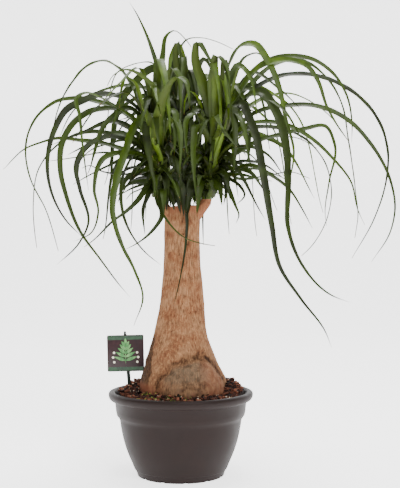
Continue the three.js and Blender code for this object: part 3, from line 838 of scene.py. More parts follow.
    def sawn_face(self, points: list, faces: list, stains_and_shade: dict) -> None:
        """Close the top with rings that carry the saw's marks and the wood's fibres.

        Args:
            points: The bark's points, which the face's points are added to.
            faces: The faces, which the face's are added to.
            stains_and_shade: Each stain's share and the painted shade at every point, which are
                added to.
        """
        last = len(points) - self.sides
        edge = points[last:]
        centre = Vector((self.middle(self.top), 0, self.top - 0.8))
        for k in range(1, self.saw_rings):
            share = 1 - k / self.saw_rings
            for place in edge:
                spot = centre.lerp(Vector(place), share)
                marks = 0.35 * math.sin(0.9 * spot.x + 0.35 * spot.y)
                fibre = 0.7 * spots((spot.x, spot.y, 0), 2.2, 1, 1)
                points.append((spot.x, spot.y, spot.z + marks + fibre - 0.8 * smooth(k, 0, 2)))
                cracked = smooth(fibre, 0.1, -0.35) * 0.6
                damp_and_shade = 0.25 * smooth(share, 0.8, 1.0)
                for name, value in zip(self.stains_and_shade, (cracked, 0.0, damp_and_shade, 0.75)):
                    stains_and_shade[name].append(value)
        faces += ring_faces(self.saw_rings, self.sides, last)[:-2]
        final = len(points) - self.sides
        points.append(tuple(centre))
        for name, value in zip(self.stains_and_shade, (0.3, 0.0, 0.3, 0.75)):
            stains_and_shade[name].append(value)
        tip = len(points) - 1
        faces += [(final + j, final + (j + 1) % self.sides, tip) for j in range(self.sides)]

    def limb(self, name: str, stops: list, sides: int, steps: int, fresh: float) -> Piece:
        """Make a rounded limb through stops, with bark relief.

        Args:
            name: The object's name.
            stops: Places with their radius, as x, y, z and radius.
            sides: Points round the limb.
            steps: Rings between two stops.
            fresh: How much of it shows fresh reddish wood.

        Returns:
            The limb's object.
        """
        rings = []
        for (*low, low_radius), (*high, high_radius) in zip(stops, stops[1:]):
            for k in range(steps):
                share = k / steps
                rings.append((*(mix(a, b, share) for a, b in zip(low, high)),
                              mix(low_radius, high_radius, smooth(share, 0, 1))))
        rings.append(stops[-1])
        points = []
        for x, y, z, r in rings:
            for j in range(sides):
                side = Vector((*polar(1, math.tau * j / sides), 0))
                rough = 0.7 * spots((side.x * r, side.y * r, z), 3, 9)
                points.append(tuple(Vector((x, y, z)) + side * (r + rough)))
        limb = mesh_piece(name, points, ring_faces(len(rings), sides))
        for stain, value in zip(self.stains_and_shade, (0.1, 0.0, 0.0, fresh)):
            mark(limb, stain, [value] * len(points))
        return limb

    def dress(self, heads: dict) -> None:
        """Build the trunk, its stubs and its roots, and give them the bark's finish.

        Args:
            heads: Each head's sizes, by its name.
        """
        finish = CorkyBark().make()
        hand_over(self.bark(), finish, ("trunk",), self.sharp)
        limbs = []
        for name, head in heads.items():
            stops = [(mix(self.axis_x, head.x, t), head.y * t, z, r) for t, z, r in self.stub_path]
            limbs.append((f"trunk_stub_{name.value}", stops, *self.stub_mesh, head.fresh))
        for i in range(self.roots):
            turn = math.tau * (i + 0.3) / self.roots
            spread = mix(0.85, 1.15, even(i, 0.62, 0.1))
            stops = []
            for out, z, r in self.root_path:
                x, y = polar(out * spread, turn)
                stops.append((self.axis_x + x, y, z, r))
            limbs.append((f"trunk_root_{i + 1}", stops, *self.root_mesh, self.root_fresh))
        for limb in limbs:
            hand_over(self.limb(*limb), finish, (), self.sharp)


# Soil


@dataclass
class BarkSoil:
    """Bark compost: a lumpy bed with loose chips, crumbs and expanded stone lying on it."""

    level: float = 150.5
    edge: float = 119.3
    inner: float = 66.0
    floor: float = 112.0
    sides: int = 160
    rings: int = 34
    chips: int = 760
    crumbs: int = 1500
    stones: int = 175
    moss: int = 260
    loose: tuple = (74.0, 116.0)
    wall: float = 117.5
    tilt: float = 0.35
    smallness: float = 2.2
    bedding: float = 0.12

    def height(self, x: float, y: float) -> float:
        """Return the height of the packed soil: heaped round the foot, with a dip at the left."""
        radius = math.hypot(x, y)
        mound = 6 * bell(radius, 78, 18)
        mound += 15 * bell(radius, 98, 20) * smooth(y / radius, -0.55, 0.1)
        mound += 4 * bell(radius, 98, 16) * smooth(turn_gap(math.atan2(y, x), 0.3), 0.8, 0.3)
        mound -= 9 * bell(math.hypot(x + 103, y - 16), 0, 22)
        coarse = math.sin(x / 5.1 + 0.8) * math.cos(y / 4.7)
        fine = math.sin((x + y) / 7.3) * math.cos((x - y) / 6.1)
        return self.level + mound + 1.5 * (coarse + fine)

    def top(self, x: float, y: float) -> float:
        """Return the height of the loose surface."""
        clod = 1.3 * spots((x, y, 0), 6, 1, 2)
        crumb = 0.6 * spots((x, y, 0), 2.2, 1, 5)
        return self.height(x, y) + clod + crumb

    def bed(self) -> Piece:
        """Return the soil's own body: a ring round the trunk with a rough top."""
        wall = [(self.edge - 2, self.floor), (self.edge, 138)]
        turns = [math.tau * j / self.sides for j in range(self.sides)]
        points = [(*polar(radius, turn), z) for radius, z in wall for turn in turns]
        for i in range(self.rings):
            radius = mix(self.edge, self.inner, i / (self.rings - 1))
            for turn in turns:
                x, y = polar(radius, turn)
                points.append((x, y, self.top(x, y)))
        bed = mesh_piece("soil_bed", points, ring_faces(self.rings + len(wall), self.sides))
        mark(bed, "tone", [max(0.0, 0.2 + 0.5 * spots(place, 5, 5)) for place in points])
        return bed

    def shapes(self, draw: random.Random, count: int, flat: tuple, blocky: bool) -> list:
        """Model a few different bits to copy.

        Args:
            draw: The seeded source of chance.
            count: How many shapes to make.
            flat: Length, width and thickness, as shares of the size.
            blocky: Whether to start from a block, with its edges cut, or from a rounder lump.

        Returns:
            For each shape its points and its faces.
        """
        made = []
        for _ in range(count):
            deselect()
            if blocky:
                bpy.ops.mesh.primitive_cube_add(size=1)
            else:
                bpy.ops.mesh.primitive_ico_sphere_add(subdivisions=1, radius=0.5)
            bit = bpy.context.object
            for vertex in bit.data.vertices:
                jitter = Vector([draw.uniform(-0.17, 0.17) for _ in range(3)])
                vertex.co = Vector([a * b for a, b in zip(vertex.co + jitter, flat)])
            if blocky:
                apply_modifier(bit, "BEVEL", width=0.07, segments=1)
            made.append(([v.co.copy() for v in bit.data.vertices],
                         [tuple(p.vertices) for p in bit.data.polygons]))
            bpy.data.objects.remove(bit)
        return made

    def scatter(self, name: str, shapes: list, count: int, sizes: tuple, sink: float,
                arc: tuple, seed: int) -> Piece:
        """Lay copies of the shapes on the soil.

        Args:
            name: The piece's name.
            shapes: The shapes, each with points and faces.
            count: How many copies to lay.
            sizes: The smallest and largest size in millimetres.
            sink: How deep a copy lies in the soil, as a share of its size.
            arc: The bearings between which the copies lie.
            seed: Starts the draws.

        Returns:
            One object of all the copies.
        """
        draw = random.Random(seed)
        points, faces, tones = [], [], []
        for _ in range(count):
            radius = math.sqrt(draw.uniform(*(limit**2 for limit in self.loose)))
            turn = draw.uniform(*arc)
            size = mix(*sizes, draw.random() ** self.smallness)
            radius = min(radius, self.wall - size * 0.5)
            x, y = polar(radius, turn)
            spin = Euler((draw.gauss(0, self.tilt), draw.gauss(0, self.tilt),
                          draw.uniform(0, math.tau)))
            place = Vector((x, y, self.top(x, y) + (self.bedding - sink) * size))
            own, own_faces = draw.choice(shapes)
            start = len(points)
            turned = spin.to_matrix()
            points += [place + turned @ (p * size) for p in own]
            faces += [tuple(start + n for n in face) for face in own_faces]
            tones += [draw.random()] * len(own)
        piece = mesh_piece(name, points, faces)
        mark(piece, "tone", tones)
        return piece

    def dress(self) -> None:
        """Build the bed and what lies on it, and give each its finish."""
        peat = Crumbs("peat_and_bark_packed", "#130b08", "#2c1912", "#4b2d20").make()
        bark = Crumbs("pine_bark_chipped", "#150a07", "#412319", "#7b4b38").make()
        stone = Crumbs("perlite_expanded", "#80674c", "#bda78a", "#e8dcc6", 0.6).make()
        moss = Crumbs("moss_and_algae_crumbs", "#10140a", "#3a4418", "#7d8a3c").make()
        hand_over(self.bed(), peat, ("soil",), 60)
        draw = random.Random(SEED)
        slabs = self.shapes(draw, 7, (1.0, 0.55, 0.3), True)
        lumps = self.shapes(draw, 5, (1.0, 0.8, 0.65), False)
        all_round, before = (0.0, math.tau), (math.radians(215), math.radians(285))
        layers = (("soil_bark_chips", slabs, self.chips, (4.0, 13.0), 0.0, all_round, bark),
                  ("soil_crumbs", lumps, self.crumbs, (1.6, 4.6), 0.05, all_round, bark),
                  ("soil_perlite", lumps, self.stones, (1.8, 5.4), -0.2, all_round, stone),
                  ("soil_moss", lumps, self.moss, (2.0, 5.0), -0.3, before, moss))
        for i, (name, shapes, count, sizes, sink, arc, finish) in enumerate(layers):
            piece = self.scatter(name, shapes, count, sizes, sink, arc, SEED + i + 1)
            hand_over(piece, finish, (), None)


# Label


@dataclass
class PlantLabel:
    """A printed card on a stake, with a plain sprig on it."""

    x: float = -105.5
    y: float = 34.0
    low: float = 186.7
    width: float = 70.0
    height: float = 69.5
    thick: float = 1.2
    corner: float = 2.5
    lean: float = math.radians(-1.3)
    ink: float = 0.12
    stake_width: float = 6.5
    stake_thick: float = 2.4
    stake_length: float = 146.0
    stake_point: float = 14.0
    stake_peg: float = 7.0
    stake_aside: float = -2.0
    stake_lean: float = math.radians(-5)
    strip_size: float = 7.5
    strip_feet: tuple = (1.2, 60.5)
    stalk: tuple = (14.0, 44.0, 1.6)
    pairs: int = 5
    pair_low: float = 21.0
    pair_step: float = 6.5
    pair_turns: tuple = (1.25, 0.6)
    pair_lengths: tuple = (24.0, 13.0)
    pair_width: float = 6.4
    end_leaf: tuple = (52.0, 12.0, 5.5)
    seed_rows: int = 3
    seed_radius: float = 2.3

    def rounded(self, width: float, height: float, corner: float) -> list:
        """Return the outline of a plate with round corners, its low edge at height 0."""
        outline = []
        middles = ((width / 2 - corner, corner, -90), (width / 2 - corner, height - corner, 0),
                   (corner - width / 2, height - corner, 90), (corner - width / 2, corner, 180))
        for x, z, start in middles:
            for k in range(7):
                aside, up = polar(corner, math.radians(start + 15 * k))
                outline.append((x + aside, z + up))
        return outline

    def plate(self, name: str, outlines: list, front: float, thick: float, bevel: float = 0.0,
              segments: int = 2) -> Piece:
        """Make flat plates that stand side by side in one upright plane.

        Args:
            name: The piece's name.
            outlines: Outlines in the card's own millimetres, left-handed round.
            front: How far the plates stand in front of the card's back.
            thick: Their thickness.
            bevel: The size of their eased edges, or 0.
            segments: The steps of an eased edge.

        Returns:
            One object of all the plates.
        """
        points, faces = [], []
        for outline in outlines:
            start = len(points)
            points += [(x, y, z) for y in (-front, -front + thick) for x, z in outline]
            faces += ring_faces(2, len(outline), start)
        piece = mesh_piece(name, points, faces)
        face_out(piece)
        if bevel:
            apply_modifier(piece, "BEVEL", width=bevel * MM, segments=segments,
                           limit_method="ANGLE")
        return piece

    def placed(self, piece: Piece, lean: float, *spot: float) -> Piece:
        """Lean a mesh sideways, move it to its spot in millimetres and return it."""
        piece.data.transform(Matrix.Translation(Vector(spot) * MM) @ Matrix.Rotation(lean, 4, "Y"))
        return piece

    def blade(self, x: float, z: float, turn: float, length: float, width: float) -> list:
        """Return the outline of one printed leaf that starts at a point."""
        along = Vector((math.sin(turn), math.cos(turn)))
        aside = Vector((along.y, -along.x))
        swell = ((0.0, 0.0), (0.15, 0.62), (0.35, 1.0), (0.6, 0.82), (0.85, 0.36), (1.0, 0.0))
        outline = []
        for share, wide in (*swell, *((share, -wide) for share, wide in swell[-2:0:-1])):
            spot = Vector((x, z)) + along * (share * length) + aside * (0.5 * width * wide)
            outline.append((spot.x, spot.y))
        return outline

    def sprig(self) -> list:
        """Return the outlines of the printed sprig: pairs of leaves up a slim stalk."""
        low, length, width = self.stalk
        leaves = [self.blade(0, low, 0.0, length, width)]
        for k in range(self.pairs):
            share = k / (self.pairs - 1)
            turn, length = mix(*self.pair_turns, share), mix(*self.pair_lengths, share)
            for side in (-1, 1):
                leaves.append(self.blade(0, self.pair_low + self.pair_step * k, side * turn,
                                         length, self.pair_width))
        low, length, width = self.end_leaf
        leaves.append(self.blade(0, low, 0.0, length, width))
        return leaves

    def seeds(self) -> list:
        """Return the outlines of the printed round seeds at both sides of the sprig."""
        rounds = []
        for side in (-1, 1):
            for k in range(self.seed_rows):
                x, z = side * (22 + 2 * (k % 2)), 18 + 9 * k
                corners = (polar(self.seed_radius, math.tau * n / 12) for n in range(12))
                rounds.append([(x + aside, z + up) for aside, up in corners])
        return rounds

    def stake(self) -> Piece:
        """Return the moulded stake with its point, groove and peg."""
        half, length, point = self.stake_width / 2, self.stake_length, self.stake_point
        peg = self.stake_width / 3
        right = [(0, -length), (half, point - length), (half, 0), (peg, 1.2),
                 (peg, self.stake_peg - 1.5), (peg - 1, self.stake_peg)]
        outline = right + [(-x, z) for x, z in right[:0:-1]]
        stake = self.plate("label_stake_moulded", [outline], 0, self.stake_thick, 0.5, 3)
        return self.placed(stake, self.stake_lean, self.x + self.stake_aside, self.y + GAP,
                           self.low + self.height)

    def dress(self) -> None:
        """Build the card, its print and its stake, and give each its finish."""
        sheet = self.rounded(self.width, self.height, self.corner)
        strip = self.rounded(self.width - 3, self.strip_size, 1)
        strips = [[(x, z + up) for x, z in strip] for up in self.strip_feet]
        front, film = self.thick + self.ink, self.ink * 1.5
        maroon = PrintedCard("card_laminate_maroon", "#22090e", "#371519").make()
        green = PrintedCard("ink_leaf_green", "#3b7f3c", "#93c878").make()
        deep = PrintedCard("ink_deep_green", "#16331f", "#2c5a35").make()
        cream = PrintedCard("ink_cream", "#f3eed8", "#d9e2b8").make()
        layers = (("label_card_sheet", [sheet], self.thick, self.thick, 0.25, maroon,
                   ("label_card",)),
                  ("label_print_seeds", self.seeds(), front, film, 0, cream, ()),
                  ("label_print_strips", strips, front, film, 0, deep, ()),
                  ("label_print_sprig", self.sprig(), front + self.ink, film, 0, green, ()))
        for name, outlines, stand, thick, bevel, finish, nodes in layers:
            plate = self.plate(name, outlines, stand, thick, bevel)
            self.placed(plate, self.lean, self.x, self.y, self.low)
            hand_over(plate, finish, nodes, 30)
        dark = MouldedPolypropylene("moulded_polypropylene_green_black", "#1b231d", "#2f3a31",
                                    0.5, 12.0).make()
        hand_over(self.stake(), dark, ("label_stake",), 35)


# Foliage


# How a blade's width goes along its length: drawn out to a thread, or held nearly to its tip
DRAWN_OUT = ((0, 0.8), (0.25, 1), (0.5, 0.92), (0.66, 0.62), (0.8, 0.37), (0.92, 0.21), (1, 0.08))
HELD = ((0, 0.85), (0.25, 1), (0.6, 0.95), (0.8, 0.5), (1, 0.08))

# Up to this length a leaf holds its width; no blade is ever narrower than the least width
SHORT_LEAF = 170.0
LEAST_WIDTH = 1.3


@dataclass
class Leaf:
    """One strap leaf: where it runs, how wide it is and how it is coloured."""

    width: float
    roll: float
    points: list
    tone: float = 0.5
    inner: bool = False
    young: bool = False
    root_roll: float = 0.0
    aged: float = 0.0
    profile: tuple = HELD


@dataclass
class LeafHead:
    """One head's shoot: where it stands, where it leans to, and the leaves laid on it."""

    x: float
    y: float
    top_x: float
    top_y: float
    fresh: float
    base: float = 513.0 + GAP
    top: float = 640.0
    leaves: list = field(default_factory=list)

    def at(self, z: float) -> Vector:
        """Return the shoot's middle at a height."""
        share = (z - self.base) / (self.top - self.base)
        return Vector((mix(self.x, self.top_x, share), mix(self.y, self.top_y, share), z))


@dataclass(frozen=True)
class Filling:
    """A rule for plain arching leaves, with bearings in degrees and sizes in millimetres."""

    count: int
    middle: float
    spread: float
    reach: tuple
    rise: tuple
    fall: tuple
    root: tuple


def fringe(middle: float, spread: float) -> Filling:
    """Return the rule for the short leaves at the foot of a head."""
    return Filling(7, middle, spread, (50, 110), (15, 45), (-5, 35), (526, 550))


def inner(middle: float) -> list:
    """Return the two rules for the leaves that close the inside of a side head."""
    return [Filling(20, middle, 300, (30, 95), (60, 130), (-90, -20), (540, 600)),
            Filling(9, middle, 150, (40, 85), (30, 70), (-50, -5), (526, 565))]


UPPER_ROOTS = (555, 620)
FILLING_LEAVES = {
    Head.LEFT: [Filling(8, 225, 110, (80, 200), (60, 150), (-60, 40), UPPER_ROOTS),
                fringe(210, 200)],
    Head.RIGHT: [Filling(8, 315, 120, (80, 210), (60, 150), (-60, 40), UPPER_ROOTS),
                 fringe(330, 200)],
    Head.BACK: [Filling(22, 90, 180, (100, 310), (50, 145), (20, 150), (555, 630)),
                fringe(90, 220)],
}

# Thinner leaves that close the crown between the main ones
INNER_LEAVES = {
    Head.LEFT: inner(300),
    Head.RIGHT: inner(240),
    Head.BACK: [Filling(26, 270, 240, (35, 110), (80, 190), (-120, -10), (545, 615)),
                Filling(14, 270, 320, (35, 80), (25, 60), (-35, 10), (526, 565))],
}

# Short leaves that hang over the sawn top and the stubs
SKIRT_LEAVES = {
    Head.LEFT: [Filling(8, 300, 130, (34, 66), (10, 30), (8, 52), (519, 534)),
                Filling(10, 345, 120, (26, 46), (3, 9), (8, 17), (518, 527)),
                Filling(9, 322, 56, (44, 66), (6, 16), (16, 42), (518, 528))],
    Head.RIGHT: [Filling(7, 235, 120, (34, 64), (10, 30), (5, 48), (519, 534)),
                 Filling(10, 195, 120, (26, 46), (3, 9), (8, 17), (518, 527)),
                 Filling(9, 215, 56, (44, 70), (6, 16), (16, 38), (518, 528))],
    Head.BACK: [Filling(9, 270, 60, (78, 104), (14, 30), (6, 40), (520, 534)),
                Filling(14, 270, 230, (26, 56), (3, 9), (8, 17), (518, 527))],
}

# Drooping leaves that hang close over the stubs and the sawn top; each row as in SHAPED_LEAVES
LOW_LEAVES = {
    Head.LEFT: [
        [10, 8, 40, 526, [-30, 525], [-23, 515], [-17, 504]],
        [11, 12, 20, 525, [-33, 522], [-27, 514], [-23, 505]],
        [10, -2, 20, 524, [-32, 520], [-25, 512], [-21, 505]],
    ],
    Head.RIGHT: [
        [10, 8, -40, 526, [39, 526], [30, 517], [23, 504]],
        [11, 14, -20, 525, [41, 523], [34, 515], [28, 505]],
        [10, 0, -20, 525, [40, 522], [32, 514], [26, 505]],
    ],
    Head.BACK: [
        [11, -12, 30, 524, [0, 522], [-8, 514], [-13, 504]],
        [11, -12, -30, 524, [11, 522], [17, 514], [19, 504]],
    ],
}

# Young leaves that stand in front of a shoot, bright at their roots; each row as in SHAPED_LEAVES
YOUNG_LEAVES = {
    Head.LEFT: [[10, -66, 0, 556, [-38, 576], [-50, 622], [-60, 654], [-70, 680]]],
    Head.RIGHT: [[10, -70, 0, 556, [58, 576], [69, 622], [73, 668], [72, 704]],
                 [9, -60, 0, 552, [66, 590], [80, 636], [88, 672]]],
    Head.BACK: [],
}

# Leaves that give the crown its outline. Each: width, how far it runs back (+) or forward (-),
# roll, height of its root, then the places it passes, x and z as seen from the front.
SHAPED_LEAVES = {
    Head.LEFT: [
        [17, -65, 26, 600, [-68, 671], [-89, 721], [-110, 748], [-137, 761], [-166, 751],
          [-194, 719], [-213, 685], [-228, 636]],
        [12, 50, 52, 598, [-85, 660], [-118, 684], [-162, 700], [-200, 706], [-232, 702],
          [-266, 681], [-290, 645], [-297, 608], [-290, 560], [-258, 492], [-236, 417]],
        [11, 115, 50, 585, [-103, 633], [-137, 642], [-175, 647], [-217, 638], [-258, 611],
          [-282, 579], [-295, 512], [-293, 453], [-289, 423]],
        [11, -10, 65, 575, [-113, 608], [-150, 618], [-186, 622], [-233, 625], [-260, 617],
          [-286, 607], [-328, 568]],
        [11, -120, 30, 592, [-73, 645], [-107, 672], [-141, 690], [-165, 697], [-181, 688],
          [-175, 654], [-168, 600], [-157, 521]],
        [12, -30, 50, 605, [-47, 709], [-84, 721], [-125, 717], [-165, 700], [-198, 670],
          [-222, 623]],
        [14, -100, 78, 600, [-73, 673], [-109, 697], [-144, 700], [-172, 688], [-203, 669],
          [-221, 636], [-233, 559], [-222, 511], [-202, 474], [-167, 437]],
        [12, -70, 42, 590, [-93, 666], [-129, 678], [-159, 674], [-193, 651], [-214, 612],
          [-216, 562], [-205, 517], [-179, 452], [-144, 404], [-103, 350], [-89, 334]],
        [15, -110, -30, 612, [-35, 692], [-52, 713], [-69, 726], [-95, 733], [-116, 722],
          [-126, 703]],
        [10, 12, 40, 578, [-99, 624], [-138, 617], [-170, 605], [-189, 585], [-193, 559]],
        [11, -115, 80, 576, [-95, 618], [-135, 623], [-168, 602], [-184, 568], [-176, 527],
          [-159, 463], [-174, 430], [-212, 392]],
        [9, 60, 35, 570, [-106, 598], [-155, 605], [-199, 598], [-253, 591]],
        [11, -160, 70, 568, [-99, 594], [-132, 582], [-146, 521], [-137, 480], [-148, 446],
          [-176, 432]],
        [10, -20, 50, 566, [-94, 590], [-135, 573], [-170, 555], [-198, 539]],
        [9, 60, 30, 560, [-107, 563], [-152, 570], [-180, 582], [-192, 577]],
        [16, -150, 45, 606, [-54, 667], [-79, 647], [-97, 595], [-111, 540], [-116, 487],
          [-101, 433], [-73, 377], [-61, 339], [-76, 289]],
        [9, -90, 30, 572, [-80, 596], [-98, 570], [-106, 511], [-94, 462], [-61, 414], [-33, 391]],
        [11, -110, 35, 562, [-60, 540], [-76, 508], [-97, 485], [-117, 469], [-152, 433],
          [-166, 423]],
        [14, -80, -20, 558, [-50, 545], [-58, 518], [-66, 489], [-62, 446]],
        [10, 15, 30, 556, [-66, 540], [-80, 531], [-94, 525], [-103, 514]],
        [11, -45, 30, 556, [-58, 545], [-70, 538], [-91, 529], [-109, 518]],
        [10, -25, 40, 560, [-70, 562], [-89, 549], [-109, 519]],
        [7, -62, 10, 560, [-16, 531], [7, 510], [12, 476], [11, 440], [-2, 357], [-12, 316]],
        [6.5, -62, 30, 556, [-46, 520], [-34, 488], [-17, 463], [7, 441], [39, 430], [63, 426]],
        [10, -58, 35, 556, [-38, 510], [-34, 478], [-46, 458], [-79, 429], [-97, 420]],
        [18, -190, 15, 590, [-42, 625], [-37, 655], [-27, 680], [-15, 700], [-1, 709], [11, 702],
          [17, 680], [19, 648]],
        [15, -120, 10, 596, [-50, 650], [-47, 662], [-40, 640], [-37, 613], [-33, 590]],
        [12, -70, -15, 562, [-38, 574], [-24, 560], [-14, 544], [0, 511]],
        [15, -70, 10, 602, [-58, 650], [-72, 692], [-84, 722], [-96, 728], [-104, 708],
          [-108, 672]],
        [17, -60, 10, 610, [-34, 690], [-22, 730], [-13, 748], [-3, 735], [1, 700], [2, 665]],
        [11, -105, 0, 590, [-26, 640], [-10, 655], [0, 632], [2, 590], [0, 545]],
        [13, -105, -10, 584, [-56, 640], [-61, 652], [-60, 620], [-51, 570], [-38, 508]],
        [14, -80, 15, 588, [-34, 640], [-22, 672], [-12, 668], [-8, 630], [-10, 585]],
        [15, 45, 25, 612, [-46, 704], [-41, 744], [-35, 789], [-26, 830], [-14, 838], [9, 821],
          [20, 806]],
    ],
    Head.RIGHT: [
        [18, -60, 5, 604, [58, 657], [45, 710], [27, 775], [30, 794], [54, 761], [68, 736]],
        [16, -100, 50, 604, [78, 692], [81, 727], [92, 765], [113, 790], [133, 789], [157, 757],
          [176, 709], [188, 647], [201, 594], [192, 529]],
        [11, 50, 45, 606, [83, 666], [101, 745], [124, 790], [146, 797], [165, 782], [186, 735]],
        [14, -40, 70, 596, [66, 632], [80, 680], [115, 725], [155, 764], [201, 775], [247, 766],
          [279, 742], [304, 701], [313, 656], [313, 615]],
        [16, -110, 65, 600, [75, 660], [108, 707], [136, 744], [164, 755], [195, 756], [225, 744],
          [243, 717], [258, 670], [281, 628], [295, 608]],
        [11, 60, 45, 602, [92, 685], [131, 732], [188, 777], [227, 782], [274, 754], [305, 709],
          [323, 627], [338, 525], [342, 487], [336, 442]],
        [12, 10, 58, 594, [101, 671], [145, 726], [190, 746], [242, 748], [299, 730], [340, 702],
          [374, 657], [389, 603], [386, 550], [365, 481], [322, 403]],
        [11, 130, 40, 590, [90, 645], [134, 700], [174, 723], [215, 730], [260, 715], [301, 685],
          [334, 641]],
        [12, -90, 55, 582, [88, 622], [137, 671], [191, 682], [249, 679], [300, 654], [343, 606],
          [376, 537], [382, 494], [373, 450], [340, 397]],
        [17, -180, 85, 584, [87, 629], [98, 663], [113, 691], [143, 703], [168, 668], [184, 609],
          [187, 529], [185, 455], [202, 402], [255, 342], [285, 330]],
        [15, -220, 55, 590, [80, 653], [106, 684], [127, 643], [144, 551], [156, 459], [168, 389],
          [201, 337], [241, 282], [250, 258]],
        [9, -110, 30, 606, [93, 703], [108, 743], [124, 722], [132, 686], [136, 645]],
        [11, -105, 55, 578, [91, 621], [123, 648], [159, 651], [197, 641], [235, 617], [271, 580],
          [302, 537], [313, 488], [325, 462]],
        [11, 60, 35, 582, [111, 642], [146, 652], [188, 651], [235, 633], [274, 592], [290, 534],
          [283, 483], [253, 427], [233, 407]],
        [10, 130, 35, 572, [95, 597], [129, 620], [179, 643], [237, 643], [271, 625]],
        [10, 15, 75, 570, [111, 606], [148, 625], [186, 636], [233, 647], [272, 652], [290, 616],
          [279, 545], [272, 485], [275, 464]],
        [10, -65, 45, 568, [89, 604], [123, 607], [155, 593], [187, 551]],
        [9, -90, 20, 574, [105, 620], [120, 630], [124, 599], [116, 563]],
        [10, -30, 40, 562, [82, 574], [115, 583], [146, 579], [194, 547]],
        [9, 20, 35, 560, [90, 562], [119, 571], [153, 570], [195, 555]],
        [10, -80, 40, 558, [86, 556], [114, 554], [140, 545], [164, 541]],
        [9, -80, 30, 556, [90, 548], [111, 529], [116, 516], [100, 498]],
        [11, -95, 40, 566, [83, 597], [99, 572], [116, 541], [137, 496], [151, 471]],
        [10, -70, 30, 558, [76, 554], [90, 524], [101, 495], [106, 481], [100, 465]],
        [11, -120, 45, 564, [100, 568], [126, 572], [157, 555], [194, 523], [215, 487], [231, 456]],
        [9, 130, 30, 558, [113, 556], [175, 568], [223, 576], [257, 564]],
        [12, -50, 10, 560, [72, 562], [82, 547], [83, 524], [79, 500]],
        [16, -25, 10, 600, [52, 640], [41, 674], [28, 704], [18, 712], [10, 698], [6, 668]],
        [17, -70, 0, 606, [66, 690], [68, 722], [74, 736], [82, 715], [86, 680], [88, 640]],
        [12, -95, -10, 590, [44, 635], [31, 648], [25, 615], [25, 560], [30, 505]],
        [14, -60, 10, 588, [44, 640], [28, 668], [16, 662], [10, 625], [14, 585]],
        [14, -115, 0, 586, [86, 655], [94, 680], [97, 650], [98, 600], [94, 545]],
        [20, -85, 0, 604, [62, 680], [60, 735], [66, 766], [80, 752], [90, 708]],
        [11, -100, 15, 602, [63, 688], [62, 752], [66, 728], [70, 690], [73, 650]],
        [11, -90, 20, 600, [74, 688], [80, 758], [84, 737], [88, 700], [92, 655]],
    ],
    Head.BACK: [
        [11, 20, 65, 620, [-32, 729], [-48, 780], [-67, 835], [-92, 887], [-101, 901]],
        [8, 100, 15, 612, [-34, 768], [-64, 795], [-99, 793], [-132, 777], [-146, 743], [-151, 697],
          [-165, 623]],
        [14, -42, 0, 625, [-1, 700], [-8, 765], [-10, 800], [-7, 812], [-3, 795], [0, 755]],
        [15, 35, -10, 625, [12, 730], [6, 775], [1, 800], [-1, 812]],
        [15, 60, 20, 620, [-19, 754], [-16, 808], [-8, 826], [4, 800], [12, 761], [8, 717]],
        [9, 90, 30, 622, [-12, 775], [-6, 821], [10, 844], [36, 849], [70, 842], [103, 827]],
    ],
}


@dataclass(frozen=True)
class Batch:
    """Leaves that are laid one after another by the same rules.

    The room is how far in millimetres they keep from other heads; less than 0 lets them touch.
    """

    table: dict
    room: float
    first: int = 0
    inner: bool = True
    young: bool = False


MAIN_ROOM, INNER_ROOM, LOW_ROOM = 3.5, -1.5, -4.5
BATCHES = (Batch(SHAPED_LEAVES, MAIN_ROOM, inner=False),
           Batch(FILLING_LEAVES, MAIN_ROOM, inner=False),
           Batch(INNER_LEAVES, INNER_ROOM, 40), Batch(SKIRT_LEAVES, INNER_ROOM, 90),
           Batch(LOW_LEAVES, LOW_ROOM), Batch(YOUNG_LEAVES, INNER_ROOM, young=True))

# A leaf that isn't clear is tried again further to one side or the other
SHIFTS = (0, 1, -1, 2, -2, 3, -3, 4, -4, 5, -5, 6, -6)
SHIFT_DEPTH, SHIFT_BEARING = 12.0, 4.0


def smooth_path(points: list, step: float, samples: int = 10) -> list:
    """Draw a smooth path through points and cut it into equal steps.

    Args:
        points: The places it passes.
        step: The length of a step, in millimetres.
        samples: Places worked out between two points.

    Returns:
        Points an equal way apart.
    """
    spans = [(b - a).length for a, b in zip(points, points[1:])]
    tangents = [(points[1] - points[0]) / spans[0]]
    for i in range(1, len(points) - 1):
        before = (points[i] - points[i - 1]) * (spans[i] / spans[i - 1])
        after = (points[i + 1] - points[i]) * (spans[i - 1] / spans[i])
        tangents.append((before + after) / (spans[i - 1] + spans[i]))
    tangents.append((points[-1] - points[-2]) / spans[-1])
    fine = [points[0].copy()]
    for i, span in enumerate(spans):
        for k in range(1, samples + 1):
            t = k / samples
            t2, t3 = t * t, t * t * t
            fine.append(points[i] * (2 * t3 - 3 * t2 + 1) + tangents[i] * (span * (t3 - 2 * t2 + t))
                        + points[i + 1] * (3 * t2 - 2 * t3) + tangents[i + 1] * (span * (t3 - t2)))
    lengths = [0.0]
    for a, b in zip(fine, fine[1:]):
        lengths.append(lengths[-1] + (b - a).length)
    steps = max(4, int(lengths[-1] / step + 0.5))
    path = []
    at = 1
    for i in range(steps + 1):
        want = lengths[-1] * i / steps
        while at < len(fine) - 1 and lengths[at] < want:
            at += 1
        share = (want - lengths[at - 1]) / (lengths[at] - lengths[at - 1])
        path.append(fine[at - 1].lerp(fine[at], share))
    return path


def blade_width(width: float, profile: tuple, t: float) -> float:
    """Return a blade's width along its length.

    Args:
        width: The blade's greatest width.
        profile: Shares of the length, each with the share of the width there.
        t: The share of the blade's length.

    Returns:
        The width there.
    """
    return max(LEAST_WIDTH, width * reading(profile, t))


# Leaves that end inside the crown are broad and face the front; one that stands up keeps its width
CENTRAL_REACH, CENTRAL_LOW, CENTRAL_WIDTH = 80.0, 500.0, 1.15
HELD_ABOVE = 850.0
ROOT_ROLL = 55.0

